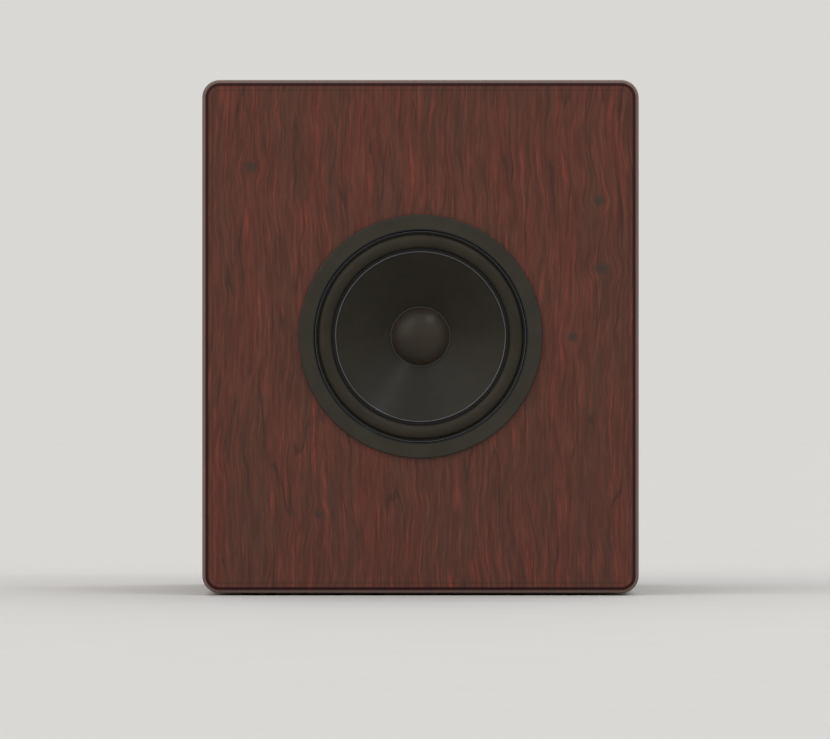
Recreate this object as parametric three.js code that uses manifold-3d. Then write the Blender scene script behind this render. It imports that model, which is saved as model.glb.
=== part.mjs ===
// A powered subwoofer: a veneered bass-reflex cabinet, one eight-inch driver in front and a plate
// amplifier behind. Millimetres, +Z up, the driver faces -Y. Here the baffle's front face is y = 0,
// the floor is z = 0, and the exported group then centres the whole box over the origin.
import * as THREE from "three";
import { mergeVertices } from "three/addons/utils/BufferGeometryUtils.js";
import Module from "manifold-3d";

const wasm = await Module();
wasm.setup();

// Cabinet
const WIDTH = 398;
const HEIGHT = 468;
const DEPTH = 390;
const BAFFLE = 22;
const BOARD = 18;
const CORNER_R = 16;
const ROUNDOVER = 5;
const BRACE = { front: 150, thickness: 16, wall: 60, cornerR: 24 };
const FOOT = { radius: 15, height: 6, standoff: 2, edgeX: 49, frontY: 50, rearY: 340, bevel: 1 };
const PORT = { z: 382, boreR: 34, wall: 3, front: 222, holeR: 48, flangeR: 56, proud: 3.5 };
const FLARE = { sweep: 16, steps: 4, shoulder: 2, socket: 8, socketWall: 3, edge: 1.5 };

// Driver, measured from the baffle's front face along +Y and from the driver's axis outwards
const DRIVER_Z = FOOT.standoff + HEIGHT / 2;
const REBATE = { radius: 104.5, depth: 7 };
const THROAT_R = 93;
const TRIM = {
  outerR: 111,
  innerR: 96.5,
  proud: 4,
  footR: 104.2,
  skirtR: 98,
  skirtY: 1.2,
  roof: 2,
  edge: 1,
};
const FLANGE = { radius: 104, innerR: 90, front: 1.5, back: 6 };
const CUP = {
  topR: 91,
  topInnerR: 88.5,
  neck: 3,
  baseR: 73,
  baseInnerR: 70,
  floorR: 58,
  boreR: 44,
  floor: 2.5,
};
const CUP_WINDOW = { count: 6, inner: 50, outer: 110, front: 15, back: 40, halfWidth: 27 };
const ROLL = { innerR: 81.5, outerR: 92, y: 1, thickness: 1, lipInnerR: 77.8, lipOuterR: 96.2 };
const CONE = { rimR: 76.5, neckR: 20, front: 2, depth: 36, wall: 1.2, lipR: 81.2 };
const CAP = { radius: 26.5, height: 10, wall: 1, gap: 0.3 };
const LEDGE_Y = 46.5;
const BASKET_BACK = 58;
const TOP_PLATE = { boreR: 21, radius: 54, thickness: 8 };
const MAGNET = { boreR: 30, radius: 62, thickness: 20 };
const YOKE = { poleR: 18.4, ventR: 8, radius: 54, thickness: 8 };
const FORMER = { innerR: 19, outerR: 19.4, front: 37, back: 70 };
const COIL = { innerR: 19.5, outerR: 20.3, length: 16 };
const SPIDER = { innerR: 19.7, collarR: 22, outerR: 69, landR: 56.5, wave: 1.2, waves: 3, thickness: 0.8 };
const SCREW = { circleR: 101, shankR: 1.5, length: 18, headR: 2.7, headHeight: 2.2, bevel: 0.8 };
const SCREW_HOLE = { pilotR: 1.8, clearR: 2.2 };
const SCREW_ANGLES = [45, 135, 225, 315];

// Plate amplifier, placed from its own centre on the rear of the cabinet
const AMP_Z = 160;
const GASKET = 1;
const PLATE = { width: 216, height: 256, thickness: 3, cornerR: 6 };
const OUTSIDE = DEPTH + GASKET + PLATE.thickness;
const INSIDE = DEPTH + GASKET;
const CUTOUT = { width: 196, height: 232, cornerR: 8 };
const SINK = { x: -45, z: 28, width: 100, height: 164, base: 4, proud: 18, fins: 11, fin: 2.4 };
const VOLUME = { x: 60, z: 78 };
const CROSSOVER = { x: 60, z: 36 };
const PHASE = { x: 60, z: 2, slot: 9, rest: -2.5 };
const AUTO = { x: 60, z: -24, slot: 10.4, rest: 0 };
const JACKS = { x: 60, z: -62, pitch: 22 };
const LED = { x: 60, z: 108, radius: 2.5, proud: 2.5, depth: 5 };
const INLET = { x: -60, z: -86, width: 27, height: 45, front: 366 };
const INLET_FLANGE = { width: 34, height: 52, proud: 2.5 };
const ROCKER = { x: -12, z: -86, tilt: 8 };
const POT = { radius: 8, depth: 10, bushR: 3.5, bushing: 4, shaftR: 3, shaft: 12, clearance: 0.1 };
const KNOB = { radius: 12, innerR: 11, skirt: 4, lift: 1.5, height: 14.5, edge: 1 };
const POINTER = { depth: 0.8, halfWidth: 0.7 };
const CLEAR = 0.3;

const ROUND = 36;
const INNER_ROUND = 24;
const SMALL_ROUND = 16;
const DEG = Math.PI / 180;

// ---------------------------------------------------------------- helpers

// A manifold solid of a closed geometry.
function toSolid(geometry) {
  const bare = geometry.clone();
  bare.deleteAttribute("normal");
  bare.deleteAttribute("uv");
  const merged = mergeVertices(bare, 1e-4);
  return new wasm.Manifold(
    new wasm.Mesh({
      numProp: 3,
      vertProperties: merged.attributes.position.array,
      triVerts: new Uint32Array(merged.index.array),
    }),
  );
}

function toGeometry(solid) {
  const mesh = solid.getMesh();
  const geometry = new THREE.BufferGeometry();
  geometry.setAttribute("position", new THREE.BufferAttribute(mesh.vertProperties, 3));
  geometry.setIndex(new THREE.BufferAttribute(mesh.triVerts, 1));
  geometry.computeVertexNormals();
  return geometry;
}

function join(...pieces) {
  return toGeometry(pieces.map(toSolid).reduce((whole, piece) => whole.add(piece)));
}

function cut(body, ...tools) {
  return toGeometry(tools.map(toSolid).reduce((rest, tool) => rest.subtract(tool), toSolid(body)));
}

function box(x0, x1, y0, y1, z0, z1) {
  const geometry = new THREE.BoxGeometry(x1 - x0, y1 - y0, z1 - z0);
  return geometry.translate((x0 + x1) / 2, (y0 + y1) / 2, (z0 + z1) / 2);
}

// A box centred on x = 0, z = 0.
function block(width, height, y0, y1) {
  return box(-width / 2, width / 2, y0, y1, -height / 2, height / 2);
}

// A cylinder along Y.
function rod(radius, y0, y1, segments = SMALL_ROUND) {
  return new THREE.CylinderGeometry(radius, radius, y1 - y0, segments).translate(0, (y0 + y1) / 2, 0);
}

// A solid of revolution about Y, from [radius, y] points that run counter-clockwise.
function turned(points, segments = ROUND) {
  return new THREE.LatheGeometry(
    points.map(([r, y]) => new THREE.Vector2(r, y)),
    segments,
  );
}

// A flat-sided ring about Y.
function ring(innerR, outerR, y0, y1, segments = ROUND) {
  const corners = [[outerR, y0], [outerR, y1], [innerR, y1], [innerR, y0]];
  return turned([...corners, corners[0]], segments);
}

// An outline drawn in X and Z, pushed along Y from y0 to y1.
function pushed(shape, y0, y1, curveSegments = 6) {
  const geometry = new THREE.ExtrudeGeometry(shape, { depth: y1 - y0, bevelEnabled: false, curveSegments });
  return geometry.rotateX(Math.PI / 2).translate(0, y1, 0);
}

function roundedRect(width, height, radius) {
  const x = width / 2;
  const z = height / 2;
  const shape = new THREE.Shape();
  shape.moveTo(-x + radius, -z);
  shape.lineTo(x - radius, -z);
  shape.absarc(x - radius, -z + radius, radius, -Math.PI / 2, 0);
  shape.lineTo(x, z - radius);
  shape.absarc(x - radius, z - radius, radius, 0, Math.PI / 2);
  shape.lineTo(-x + radius, z);
  shape.absarc(-x + radius, z - radius, radius, Math.PI / 2, Math.PI);
  shape.lineTo(-x, -z + radius);
  shape.absarc(-x + radius, -z + radius, radius, Math.PI, 1.5 * Math.PI);
  return shape;
}

function polygon(points) {
  return new THREE.Shape(points.map(([x, y]) => new THREE.Vector2(x, y)));
}

// A round tube along a smooth curve through the points.
function tube(points, radius, steps, sides) {
  const knots = points.map((point) => new THREE.Vector3(...point));
  const path = new THREE.CatmullRomCurve3(knots, false, "centripetal");
  const section = new THREE.Shape(
    Array.from({ length: sides }, (_, i) => {
      const turn = (2 * Math.PI * i) / sides;
      return new THREE.Vector2(radius * Math.cos(turn), radius * Math.sin(turn));
    }),
  );
  return new THREE.ExtrudeGeometry(section, { steps, bevelEnabled: false, extrudePath: path });
}

function add(group, name, geometry, [color, roughness, metalness], position = [0, 0, 0]) {
  const mesh = new THREE.Mesh(geometry, new THREE.MeshStandardMaterial({ color, roughness, metalness }));
  mesh.name = name;
  mesh.position.set(...position);
  group.add(mesh);
  return mesh;
}

function groupAt(parent, x, y, z) {
  const group = new THREE.Group();
  group.position.set(x, y, z);
  parent.add(group);
  return group;
}

// ---------------------------------------------------------------- finishes: colour, roughness, metalness

const VENEER = [0x5d3229, 0.35, 0];
const BARE_BOARD = [0x8a6a4a, 0.85, 0];
const BLACK_PANEL = [0x1b1b1a, 0.6, 0];
const SOFT_RUBBER = [0x262624, 0.75, 0];
const SATIN_RING = [0x34332c, 0.45, 0];
const GLOSS_CONE = [0x2b2a28, 0.28, 0.3];
const CAP_PLASTIC = [0x34322f, 0.25, 0.2];
const MOULDED = [0x17181a, 0.55, 0];
const FOAM = [0x2e2e2e, 0.95, 0];
const CAST_FRAME = [0x202124, 0.5, 0.6];
const PLATED_STEEL = [0x9a9c9e, 0.35, 0.95];
const FERRITE = [0x2d2c2e, 0.7, 0.1];
const COPPER = [0xb06a3a, 0.35, 0.9];
const KAPTON = [0xb9772a, 0.4, 0.1];
const SPIDER_CLOTH = [0xc9a24a, 0.85, 0];
const ANODISED = [0x151617, 0.4, 0.8];
const BOARD_GREEN = [0x1f4d34, 0.5, 0.1];
const GREEN_LED = [0x58c060, 0.15, 0];
const CLEAR_GLASS = [0xd8e0e4, 0.05, 0];
const RED_WIRE = [0x9c2622, 0.5, 0];
const BLACK_WIRE = [0x161616, 0.5, 0];

// ---------------------------------------------------------------- cabinet

const INNER_X = WIDTH / 2 - BOARD;
const FLOOR = FOOT.standoff + BOARD;
const CEILING = FOOT.standoff + HEIGHT - BOARD;
const MIDDLE = (FLOOR + CEILING) / 2;
const REAR_PANEL_Y = DEPTH - BOARD;

// The baffle covers the ends of all four boards. Its front edge is rounded over.
function frontBaffle() {
  const outline = roundedRect(WIDTH - 2 * ROUNDOVER, HEIGHT - 2 * ROUNDOVER, CORNER_R - ROUNDOVER);
  const blank = new THREE.ExtrudeGeometry(outline, {
    depth: BAFFLE,
    bevelThickness: ROUNDOVER,
    bevelSize: ROUNDOVER,
    bevelSegments: 3,
    curveSegments: 5,
  });
  blank.rotateX(Math.PI / 2).translate(0, BAFFLE + ROUNDOVER, 0);
  const pilots = SCREW_ANGLES.map((angle) =>
    onScrewCircle(rod(SCREW_HOLE.pilotR, REBATE.depth - 1, BAFFLE - 2, 8), angle),
  );
  return cut(
    blank,
    block(2 * WIDTH, 2 * HEIGHT, BAFFLE, 2 * BAFFLE),
    rod(REBATE.radius, -1, REBATE.depth, ROUND),
    rod(THROAT_R, 1, BAFFLE + 1, ROUND),
    ...pilots,
  );
}

// The top and bottom boards run the full width, with both outer long edges rounded.
function cappingBoard(innerZ, outerZ) {
  const up = Math.sign(outerZ - innerZ);
  const x = WIDTH / 2;
  const arcZ = outerZ - up * CORNER_R;
  const clockwise = up < 0;
  const shape = new THREE.Shape();
  shape.moveTo(-x, innerZ);
  shape.lineTo(x, innerZ);
  shape.lineTo(x, arcZ);
  shape.absarc(x - CORNER_R, arcZ, CORNER_R, 0, (up * Math.PI) / 2, clockwise);
  shape.lineTo(-x + CORNER_R, outerZ);
  shape.absarc(-x + CORNER_R, arcZ, CORNER_R, (up * Math.PI) / 2, up * Math.PI, clockwise);
  return pushed(shape, BAFFLE, DEPTH, 5);
}

const FOOT_SPOTS = [
  ["front_left", -1, FOOT.frontY],
  ["front_right", 1, FOOT.frontY],
  ["rear_left", -1, FOOT.rearY],
  ["rear_right", 1, FOOT.rearY],
].map(([name, side, y]) => ({ name, x: side * (WIDTH / 2 - FOOT.edgeX), y }));

// A disc along Z in the underside, one for each foot.
function footPocket({ x, y }) {
  const top = FOOT.height;
  const disc = new THREE.CylinderGeometry(FOOT.radius + CLEAR, FOOT.radius + CLEAR, 2 * top, SMALL_ROUND);
  return disc.rotateX(Math.PI / 2).translate(x, y, 0);
}

function footPad() {
  const { radius, height, bevel } = FOOT;
  const profile = [[0, 0], [radius - bevel, 0], [radius, bevel], [radius, height], [0, height]];
  return turned(profile, SMALL_ROUND).rotateX(Math.PI / 2);
}

function rearPanel() {
  const board = box(-INNER_X, INNER_X, REAR_PANEL_Y, DEPTH, FLOOR, CEILING);
  const through = [REAR_PANEL_Y - 1, DEPTH + 1];
  const window = pushed(roundedRect(CUTOUT.width, CUTOUT.height, CUTOUT.cornerR), ...through, 4);
  const hole = rod(PORT.holeR, ...through, INNER_ROUND);
  return cut(board, window.translate(0, 0, AMP_Z), hole.translate(0, 0, PORT.z));
}

// A frame of board that ties the four walls together halfway back.
function windowBrace() {
  const { front, thickness, wall, cornerR } = BRACE;
  const board = box(-INNER_X, INNER_X, front, front + thickness, FLOOR, CEILING);
  const hole = roundedRect(2 * (INNER_X - wall), CEILING - FLOOR - 2 * wall, cornerR);
  return cut(board, pushed(hole, front - 1, front + thickness + 1, 4).translate(0, 0, MIDDLE));
}

// The moulded flare fills the panel's hole and grips the end of the tube in a socket.
function portFlare() {
  const { boreR, wall, holeR, flangeR, proud } = PORT;
  const { sweep, steps, shoulder, socket, socketWall, edge } = FLARE;
  const mouthY = DEPTH + proud;
  const throat = Array.from({ length: steps + 1 }, (_, i) => {
    const turn = (i / steps) * (Math.PI / 2);
    return [boreR + sweep * (1 - Math.sin(turn)), mouthY - sweep * (1 - Math.cos(turn))];
  });
  const socketR = boreR + wall + CLEAR;
  const socketY = mouthY - sweep - shoulder;
  const socketFront = socketY - socket;
  const outline = [
    [socketR + socketWall, socketFront],
    [socketR + socketWall, REAR_PANEL_Y],
    [holeR - 1, DEPTH - 4],
    [holeR - 1, DEPTH],
    [flangeR, DEPTH],
    [flangeR, mouthY - edge],
    [flangeR - edge, mouthY],
    ...throat,
    [boreR, socketY],
    [socketR, socketY],
    [socketR, socketFront],
  ];
  return turned([...outline, outline[0]], INNER_ROUND);
}

function portTube() {
  const back = DEPTH + PORT.proud - FLARE.sweep - FLARE.shoulder - CLEAR;
  return ring(PORT.boreR, PORT.boreR + PORT.wall, PORT.front, back, INNER_ROUND);
}

function buildCabinet(parent) {
  const side = () => box(0, BOARD, BAFFLE, DEPTH, FLOOR, CEILING);
  add(parent, "front_baffle", frontBaffle(), VENEER, [0, 0, DRIVER_Z]);
  add(parent, "top_panel", cappingBoard(CEILING, CEILING + BOARD), VENEER);
  const bottom = cut(cappingBoard(FLOOR, FOOT.standoff), ...FOOT_SPOTS.map(footPocket));
  add(parent, "bottom_panel", bottom, VENEER);
  add(parent, "left_side_panel", side(), VENEER, [-WIDTH / 2, 0, 0]);
  add(parent, "right_side_panel", side(), VENEER, [INNER_X, 0, 0]);
  add(parent, "rear_panel", rearPanel(), BLACK_PANEL);
  add(parent, "window_brace", windowBrace(), BARE_BOARD);
  for (const spot of FOOT_SPOTS) {
    add(parent, `foot_${spot.name}`, footPad(), SOFT_RUBBER, [spot.x, spot.y, 0]);
  }
  const port = groupAt(parent, 0, 0, PORT.z);
  add(port, "port_tube", portTube(), MOULDED);
  add(port, "port_flare", portFlare(), MOULDED);
}

// ---------------------------------------------------------------- driver, in a group on its own axis

const MAGNET_FRONT = BASKET_BACK + TOP_PLATE.thickness;
const YOKE_FRONT = MAGNET_FRONT + MAGNET.thickness;

// How far behind the baffle's face the cone's front surface lies at a radius.
function coneY(radius) {
  const along = (radius - CONE.neckR) / (CONE.rimR - CONE.neckR);
  return CONE.front + CONE.depth * (1 - along);
}

function onScrewCircle(geometry, angle) {
  const turn = angle * DEG;
  return geometry.translate(SCREW.circleR * Math.cos(turn), 0, SCREW.circleR * Math.sin(turn));
}

// The ring clips over the frame's flange: its outer foot lies on the baffle and its skirt drops inside.
function trimRing() {
  const { outerR, innerR, proud, footR, skirtR, skirtY, roof, edge } = TRIM;
  const outline = [
    [outerR, edge - proud],
    [outerR, 0],
    [footR, 0],
    [footR, -roof],
    [skirtR, -roof],
    [skirtR, skirtY],
    [innerR, skirtY],
    [innerR, edge - proud],
    [innerR + edge, -proud],
    [outerR - edge, -proud],
  ];
  return turned([...outline, outline[0]]);
}

// A cast frame: flange, six-windowed cup, spider ledge and the floor that carries the motor.
function basket() {
  const { topR, topInnerR, neck, baseR, baseInnerR, floorR, boreR, floor } = CUP;
  const outline = [
    [FLANGE.radius, FLANGE.front],
    [FLANGE.radius, FLANGE.back],
    [topR + 1, FLANGE.back],
    [topR, FLANGE.back + neck],
    [baseR, LEDGE_Y],
    [baseR, BASKET_BACK],
    [boreR, BASKET_BACK],
    [boreR, BASKET_BACK - floor],
    [floorR, BASKET_BACK - floor],
    [floorR, LEDGE_Y],
    [baseInnerR, LEDGE_Y],
    [topInnerR, FLANGE.back + neck],
    [FLANGE.innerR, FLANGE.front],
  ];
  const { count, inner, outer, front, back, halfWidth } = CUP_WINDOW;
  const windows = Array.from({ length: count }, (_, i) =>
    box(inner, outer, front, back, -halfWidth, halfWidth).rotateY(((i + 0.5) * 360 * DEG) / count),
  );
  const holes = SCREW_ANGLES.map((angle) => onScrewCircle(rod(SCREW_HOLE.clearR, 0, 8, 8), angle));
  return cut(turned([...outline, outline[0]]), ...windows, ...holes);
}

function driverGasket() {
  const holes = SCREW_ANGLES.map((angle) => onScrewCircle(rod(SCREW_HOLE.clearR, 5, 8, 8), angle));
  return cut(ring(THROAT_R + 1, FLANGE.radius - 0.5, FLANGE.back, REBATE.depth), ...holes);
}

function driverScrew() {
  const { headR, headHeight, shankR, bevel, length } = SCREW;
  const face = FLANGE.front;
  const profile = [
    [0, face - headHeight],
    [headR - bevel, face - headHeight],
    [headR, face - headHeight + bevel],
    [headR, face],
    [shankR, face],
    [shankR, face + length - 2],
    [0, face + length],
  ];
  return turned(profile, 12);
}

// A half roll between two flat lips: the front skin runs outwards, the back skin returns.
function surround() {
  const { innerR, outerR, y, thickness, lipInnerR, lipOuterR } = ROLL;
  const middle = (innerR + outerR) / 2;
  const rollR = (outerR - innerR) / 2;
  const half = thickness / 2;
  const steps = 6;
  const skin = (offset) => {
    const arc = Array.from({ length: steps - 1 }, (_, i) => {
      const turn = ((i + 1) / steps) * Math.PI;
      return [middle - (rollR - offset) * Math.cos(turn), y - (rollR - offset) * Math.sin(turn)];
    });
    const lipY = y + offset;
    const foot = rollR - offset;
    return [[lipInnerR, lipY], [middle - foot, lipY], ...arc, [middle + foot, lipY], [lipOuterR, lipY]];
  };
  const outline = [...skin(-half), ...skin(half).reverse()];
  return turned([...outline, outline[0]]);
}

function spider() {
  const { innerR, collarR, outerR, landR, wave, waves, thickness } = SPIDER;
  const middle = LEDGE_Y - thickness / 2;
  const steps = 4 * waves;
  const ripple = Array.from({ length: steps + 1 }, (_, i) => [
    collarR + ((landR - collarR) * i) / steps,
    middle - wave * Math.sin((i / steps) * waves * 2 * Math.PI),
  ]);
  const midline = [[innerR, middle], ...ripple, [outerR, middle]];
  const front = midline.map(([r, y]) => [r, y - thickness / 2]);
  const back = midline.map(([r, y]) => [r, y + thickness / 2]).reverse();
  return turned([...front, ...back, front[0]], INNER_ROUND);
}

function cone() {
  const { rimR, neckR, wall, lipR } = CONE;
  const lipFront = ROLL.y + ROLL.thickness / 2;
  const outline = [
    [lipR, lipFront],
    [lipR, lipFront + wall],
    [rimR + 1.5, lipFront + wall],
    [rimR, coneY(rimR) + wall],
    [neckR, coneY(neckR) + wall],
    [neckR, coneY(neckR)],
    [rimR, coneY(rimR)],
    [rimR + 1.2, lipFront],
  ];
  return turned([...outline, outline[0]]);
}

function dustCap() {
  const { radius, height, wall, gap } = CAP;
  const rimY = coneY(radius) - gap;
  const steps = 4;
  const dome = (edgeR, rise) =>
    Array.from({ length: steps + 1 }, (_, i) => {
      const r = (edgeR * i) / steps;
      return [r, rimY - rise * (1 - (r / edgeR) ** 2)];
    });
  return turned([...dome(radius, height), ...dome(radius - wall, height - wall).reverse()]);
}

function voiceCoil() {
  const middle = BASKET_BACK + TOP_PLATE.thickness / 2;
  return ring(COIL.innerR, COIL.outerR, middle - COIL.length / 2, middle + COIL.length / 2, INNER_ROUND);
}

// The yoke: a steel disc and the vented pole that stands on it.
function backPlate() {
  const back = YOKE_FRONT + YOKE.thickness;
  const outline = [
    [YOKE.radius, YOKE_FRONT],
    [YOKE.radius, back],
    [YOKE.ventR, back],
    [YOKE.ventR, BASKET_BACK],
    [YOKE.poleR, BASKET_BACK],
    [YOKE.poleR, YOKE_FRONT],
  ];
  return turned([...outline, outline[0]], INNER_ROUND);
}

// The terminal block sits under the frame's cup; both lead pairs meet on it.
const TERMINALS = { halfWidth: 12, front: 47, back: 57, top: -73.5, bottom: -82 };

function driverTerminals() {
  const { halfWidth, front, back, top, bottom } = TERMINALS;
  return box(-halfWidth, halfWidth, front, back, bottom, top);
}

// A braided lead from the terminal block through the frame's lowest window to the coil former.
function tinselLead(side) {
  const route = [
    [side * 7, TERMINALS.front - CLEAR, -79],
    [side * 7, 41, -78],
    [side * 6, 36, -68],
    [side * 5, 39, -46],
    [side * 4, 42, -32],
    [side * 3.5, 42, -21.2],
  ];
  return tube(route, 0.8, 12, 6);
}

// A run of speaker wire from the terminal block over the brace's sill and up to the circuit board.
function speakerLead(side) {
  const route = [
    [side * 6, TERMINALS.back + CLEAR, -78],
    [side * 6, 68, -80],
    [side * 7, 86, -100],
    [side * 8, 114, -132],
    [side * 8, 140, -149],
    [side * 8, 158, -152.5],
    [side * 8, 184, -156],
    [side * 9, 230, -170],
    [side * 12, 280, -166],
    [side * 18, 320, -138],
    [side * 26, 344, -104],
    [side * 28, 353, -78],
    [side * 28, BOARD_FRONT - 4 * CLEAR, -76],
  ];
  return tube(route, 1.6, 30, 6);
}

function buildDriver(parent) {
  const driver = groupAt(parent, 0, 0, DRIVER_Z);
  add(driver, "trim_ring", trimRing(), SATIN_RING);
  add(driver, "driver_gasket", driverGasket(), FOAM);
  add(driver, "basket", basket(), CAST_FRAME);
  add(driver, "surround", surround(), SOFT_RUBBER);
  add(driver, "spider", spider(), SPIDER_CLOTH);
  add(driver, "cone", cone(), GLOSS_CONE);
  add(driver, "dust_cap", dustCap(), CAP_PLASTIC);
  const { innerR, outerR, front, back } = FORMER;
  add(driver, "voice_coil_former", ring(innerR, outerR, front, back, INNER_ROUND), KAPTON);
  add(driver, "voice_coil", voiceCoil(), COPPER);
  const topPlate = ring(TOP_PLATE.boreR, TOP_PLATE.radius, BASKET_BACK, MAGNET_FRONT, INNER_ROUND);
  add(driver, "top_plate", topPlate, PLATED_STEEL);
  const magnet = ring(MAGNET.boreR, MAGNET.radius, MAGNET_FRONT, YOKE_FRONT, INNER_ROUND);
  add(driver, "magnet", magnet, FERRITE);
  add(driver, "back_plate", backPlate(), PLATED_STEEL);
  add(driver, "driver_terminals", driverTerminals(), MOULDED);
  add(driver, "tinsel_lead_left", tinselLead(-1), COPPER);
  add(driver, "tinsel_lead_right", tinselLead(1), COPPER);
  add(driver, "speaker_lead_red", speakerLead(-1), RED_WIRE);
  add(driver, "speaker_lead_black", speakerLead(1), BLACK_WIRE);
  SCREW_ANGLES.forEach((angle, i) => {
    const turn = angle * DEG;
    const spot = [SCREW.circleR * Math.cos(turn), 0, SCREW.circleR * Math.sin(turn)];
    add(driver, `driver_screw_${i + 1}`, driverScrew(), PLATED_STEEL, spot);
  });
}

// ---------------------------------------------------------------- amplifier, in a group on its own centre

const BOARD_BACK = 361.5;
const BOARD_FRONT = 360;
const BOARD_BOX = { halfWidth: 92, bottom: -10, top: 108 };
const POST_SPOTS = [[-86, -4], [86, -4], [-86, 102], [86, 102]];
const CAPACITOR = { radius: 12.5, length: 42, z: 60, spots: { left: -50, right: -18 } };
const TOROID = { x: 60, y: 310, radius: 38, boreR: 12, height: 36, bevel: 4 };
const POST_R = 3;
const LEVER = { size: 3.6, slotHeight: 4.2, front: 386, back: 398 };
const SWITCH = { width: 18, height: 9, depth: 8 };
const DRAWER = { width: 23.4, height: 8.4, front: 376, z: -14.5, lip: 1.4 };
const FUSE_BED = { floor: 4, depth: 6.4, wall: 1.3 };
const FUSE = { radius: 2.5, length: 20, z: 1.2 };
const SOCKET = { width: 24.5, height: 16.5, z: 8, floor: 379.5, chamfer: 5 };
const PINS = { width: 2, height: 4, length: 11, spots: [[-7, -1.5], [0, 2], [7, -1.5]] };
const BEZEL = { width: 15, height: 21, proud: 2, bodyWidth: 13, bodyHeight: 19, bodyFront: 380 };
const ROCKER_WELL = { width: 10.8, height: 16.8, floor: 388.5, pivotY: 393.5 };
const PADDLE = { foot: 3, end: 3.6, waist: 2.2, halfHeight: 7.4 };
const JACK = { width: 44, height: 18, flange: 2, step: 4, barrelR: 4.15, barrel: 9, boreR: 1.6, body: 12 };

function at(geometry, spot) {
  return geometry.translate(spot.x, 0, spot.z);
}

// The plate carries every control; four pressed posts on its inside hold the circuit board.
function ampPlate() {
  const sheet = pushed(roundedRect(PLATE.width, PLATE.height, PLATE.cornerR), INSIDE, OUTSIDE, 4);
  const posts = POST_SPOTS.map(([x, z]) => rod(POST_R, BOARD_BACK, INSIDE + 1, 10).translate(x, 0, z));
  const through = [INSIDE - 1, OUTSIDE + 1];
  const slot = ({ slot: width }) => block(width, LEVER.slotHeight, ...through);
  return cut(
    join(sheet, ...posts),
    at(rod(POT.bushR + CLEAR, ...through, 16), VOLUME),
    at(rod(POT.bushR + CLEAR, ...through, 16), CROSSOVER),
    at(slot(PHASE), PHASE),
    at(slot(AUTO), AUTO),
    at(block(JACK.width - JACK.step + 1, JACK.height - JACK.step + 1, ...through), JACKS),
    at(rod(LED.radius + CLEAR, ...through, 12), LED),
    at(block(INLET.width + 1, INLET.height + 1, ...through), INLET),
    at(block(BEZEL.bodyWidth + 1, BEZEL.bodyHeight + 1, ...through), ROCKER),
  );
}

function ampGasket() {
  const outer = roundedRect(PLATE.width - 4, PLATE.height - 4, PLATE.cornerR);
  const inner = roundedRect(CUTOUT.width, CUTOUT.height, CUTOUT.cornerR);
  return cut(pushed(outer, DEPTH, INSIDE, 4), pushed(inner, DEPTH - 1, INSIDE + 1, 4));
}

// One extrusion: a flat base and upright fins.
function heatSink() {
  const { width, height, base, proud, fins, fin } = SINK;
  const pitch = (width - fin) / (fins - 1);
  const points = [[-width / 2, 0], [width / 2, 0]];
  for (let i = fins - 1; i >= 0; i -= 1) {
    const left = -width / 2 + i * pitch;
    points.push([left + fin, base], [left + fin, proud], [left, proud], [left, base]);
  }
  const comb = new THREE.ExtrudeGeometry(polygon(points), { depth: height, bevelEnabled: false });
  return comb.translate(0, OUTSIDE, -height / 2);
}

function circuitBoard() {
  const { halfWidth, bottom, top } = BOARD_BOX;
  return box(-halfWidth, halfWidth, BOARD_FRONT, BOARD_BACK - CLEAR, bottom, top);
}

function capacitor() {
  const { radius, length } = CAPACITOR;
  const front = BOARD_FRONT - length;
  const back = BOARD_FRONT - CLEAR;
  const profile = [[0, front], [radius - 1, front], [radius, front + 1], [radius, back], [0, back]];
  return turned(profile, SMALL_ROUND);
}

// A wound toroid that lies on the cabinet's floor.
function transformer() {
  const { radius, boreR, height, bevel } = TOROID;
  const profile = [
    [radius, bevel],
    [radius, height - bevel],
    [radius - bevel, height],
    [boreR + bevel, height],
    [boreR, height - bevel],
    [boreR, bevel],
    [boreR + bevel, 0],
    [radius - bevel, 0],
  ];
  return turned([...profile, profile[0]], INNER_ROUND).rotateX(Math.PI / 2);
}

// A rotary control behind the plate, with the bushing its shaft turns in.
function potentiometer() {
  const front = INSIDE - CLEAR - POT.depth;
  const bore = POT.shaftR + POT.clearance;
  const profile = [
    [0, front],
    [POT.radius, front],
    [POT.radius, INSIDE - CLEAR],
    [POT.bushR, INSIDE - CLEAR],
    [POT.bushR, OUTSIDE + POT.bushing],
    [bore, OUTSIDE + POT.bushing],
    [bore, front + 2],
    [0, front + 2],
  ];
  return turned(profile, SMALL_ROUND);
}

function controlShaft() {
  return rod(POT.shaftR, INSIDE - POT.depth + 2, OUTSIDE + POT.shaft);
}

// A knob with a blind bore for its shaft, a counterbore over the bushing and a pointer groove.
function knob() {
  const { radius, innerR, skirt, lift, height, edge } = KNOB;
  const foot = OUTSIDE + lift;
  const face = foot + height;
  const bore = POT.shaftR + POT.clearance;
  const boreEnd = OUTSIDE + POT.shaft + CLEAR;
  const counterbore = POT.bushR + 0.8;
  const counterboreEnd = OUTSIDE + POT.bushing + 0.5;
  const profile = [
    [0, boreEnd],
    [bore, boreEnd],
    [bore, counterboreEnd],
    [counterbore, counterboreEnd],
    [counterbore, foot],
    [radius, foot],
    [radius, foot + skirt],
    [innerR, face - edge],
    [innerR - edge, face],
    [0, face],
  ];
  const { depth, halfWidth } = POINTER;
  const pointer = box(-halfWidth, halfWidth, face - depth, face + 1, radius / 3, radius + 1);
  return cut(turned(profile, SMALL_ROUND), pointer);
}

// A slide switch's housing, with the slot its lever runs in.
function switchBody(slotWidth) {
  const back = INSIDE - CLEAR;
  const body = block(SWITCH.width, SWITCH.height, back - SWITCH.depth, back);
  return cut(body, block(slotWidth, LEVER.slotHeight, LEVER.front - CLEAR, back + 1));
}

function lever() {
  return block(LEVER.size, LEVER.size, LEVER.front, LEVER.back);
}

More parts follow.
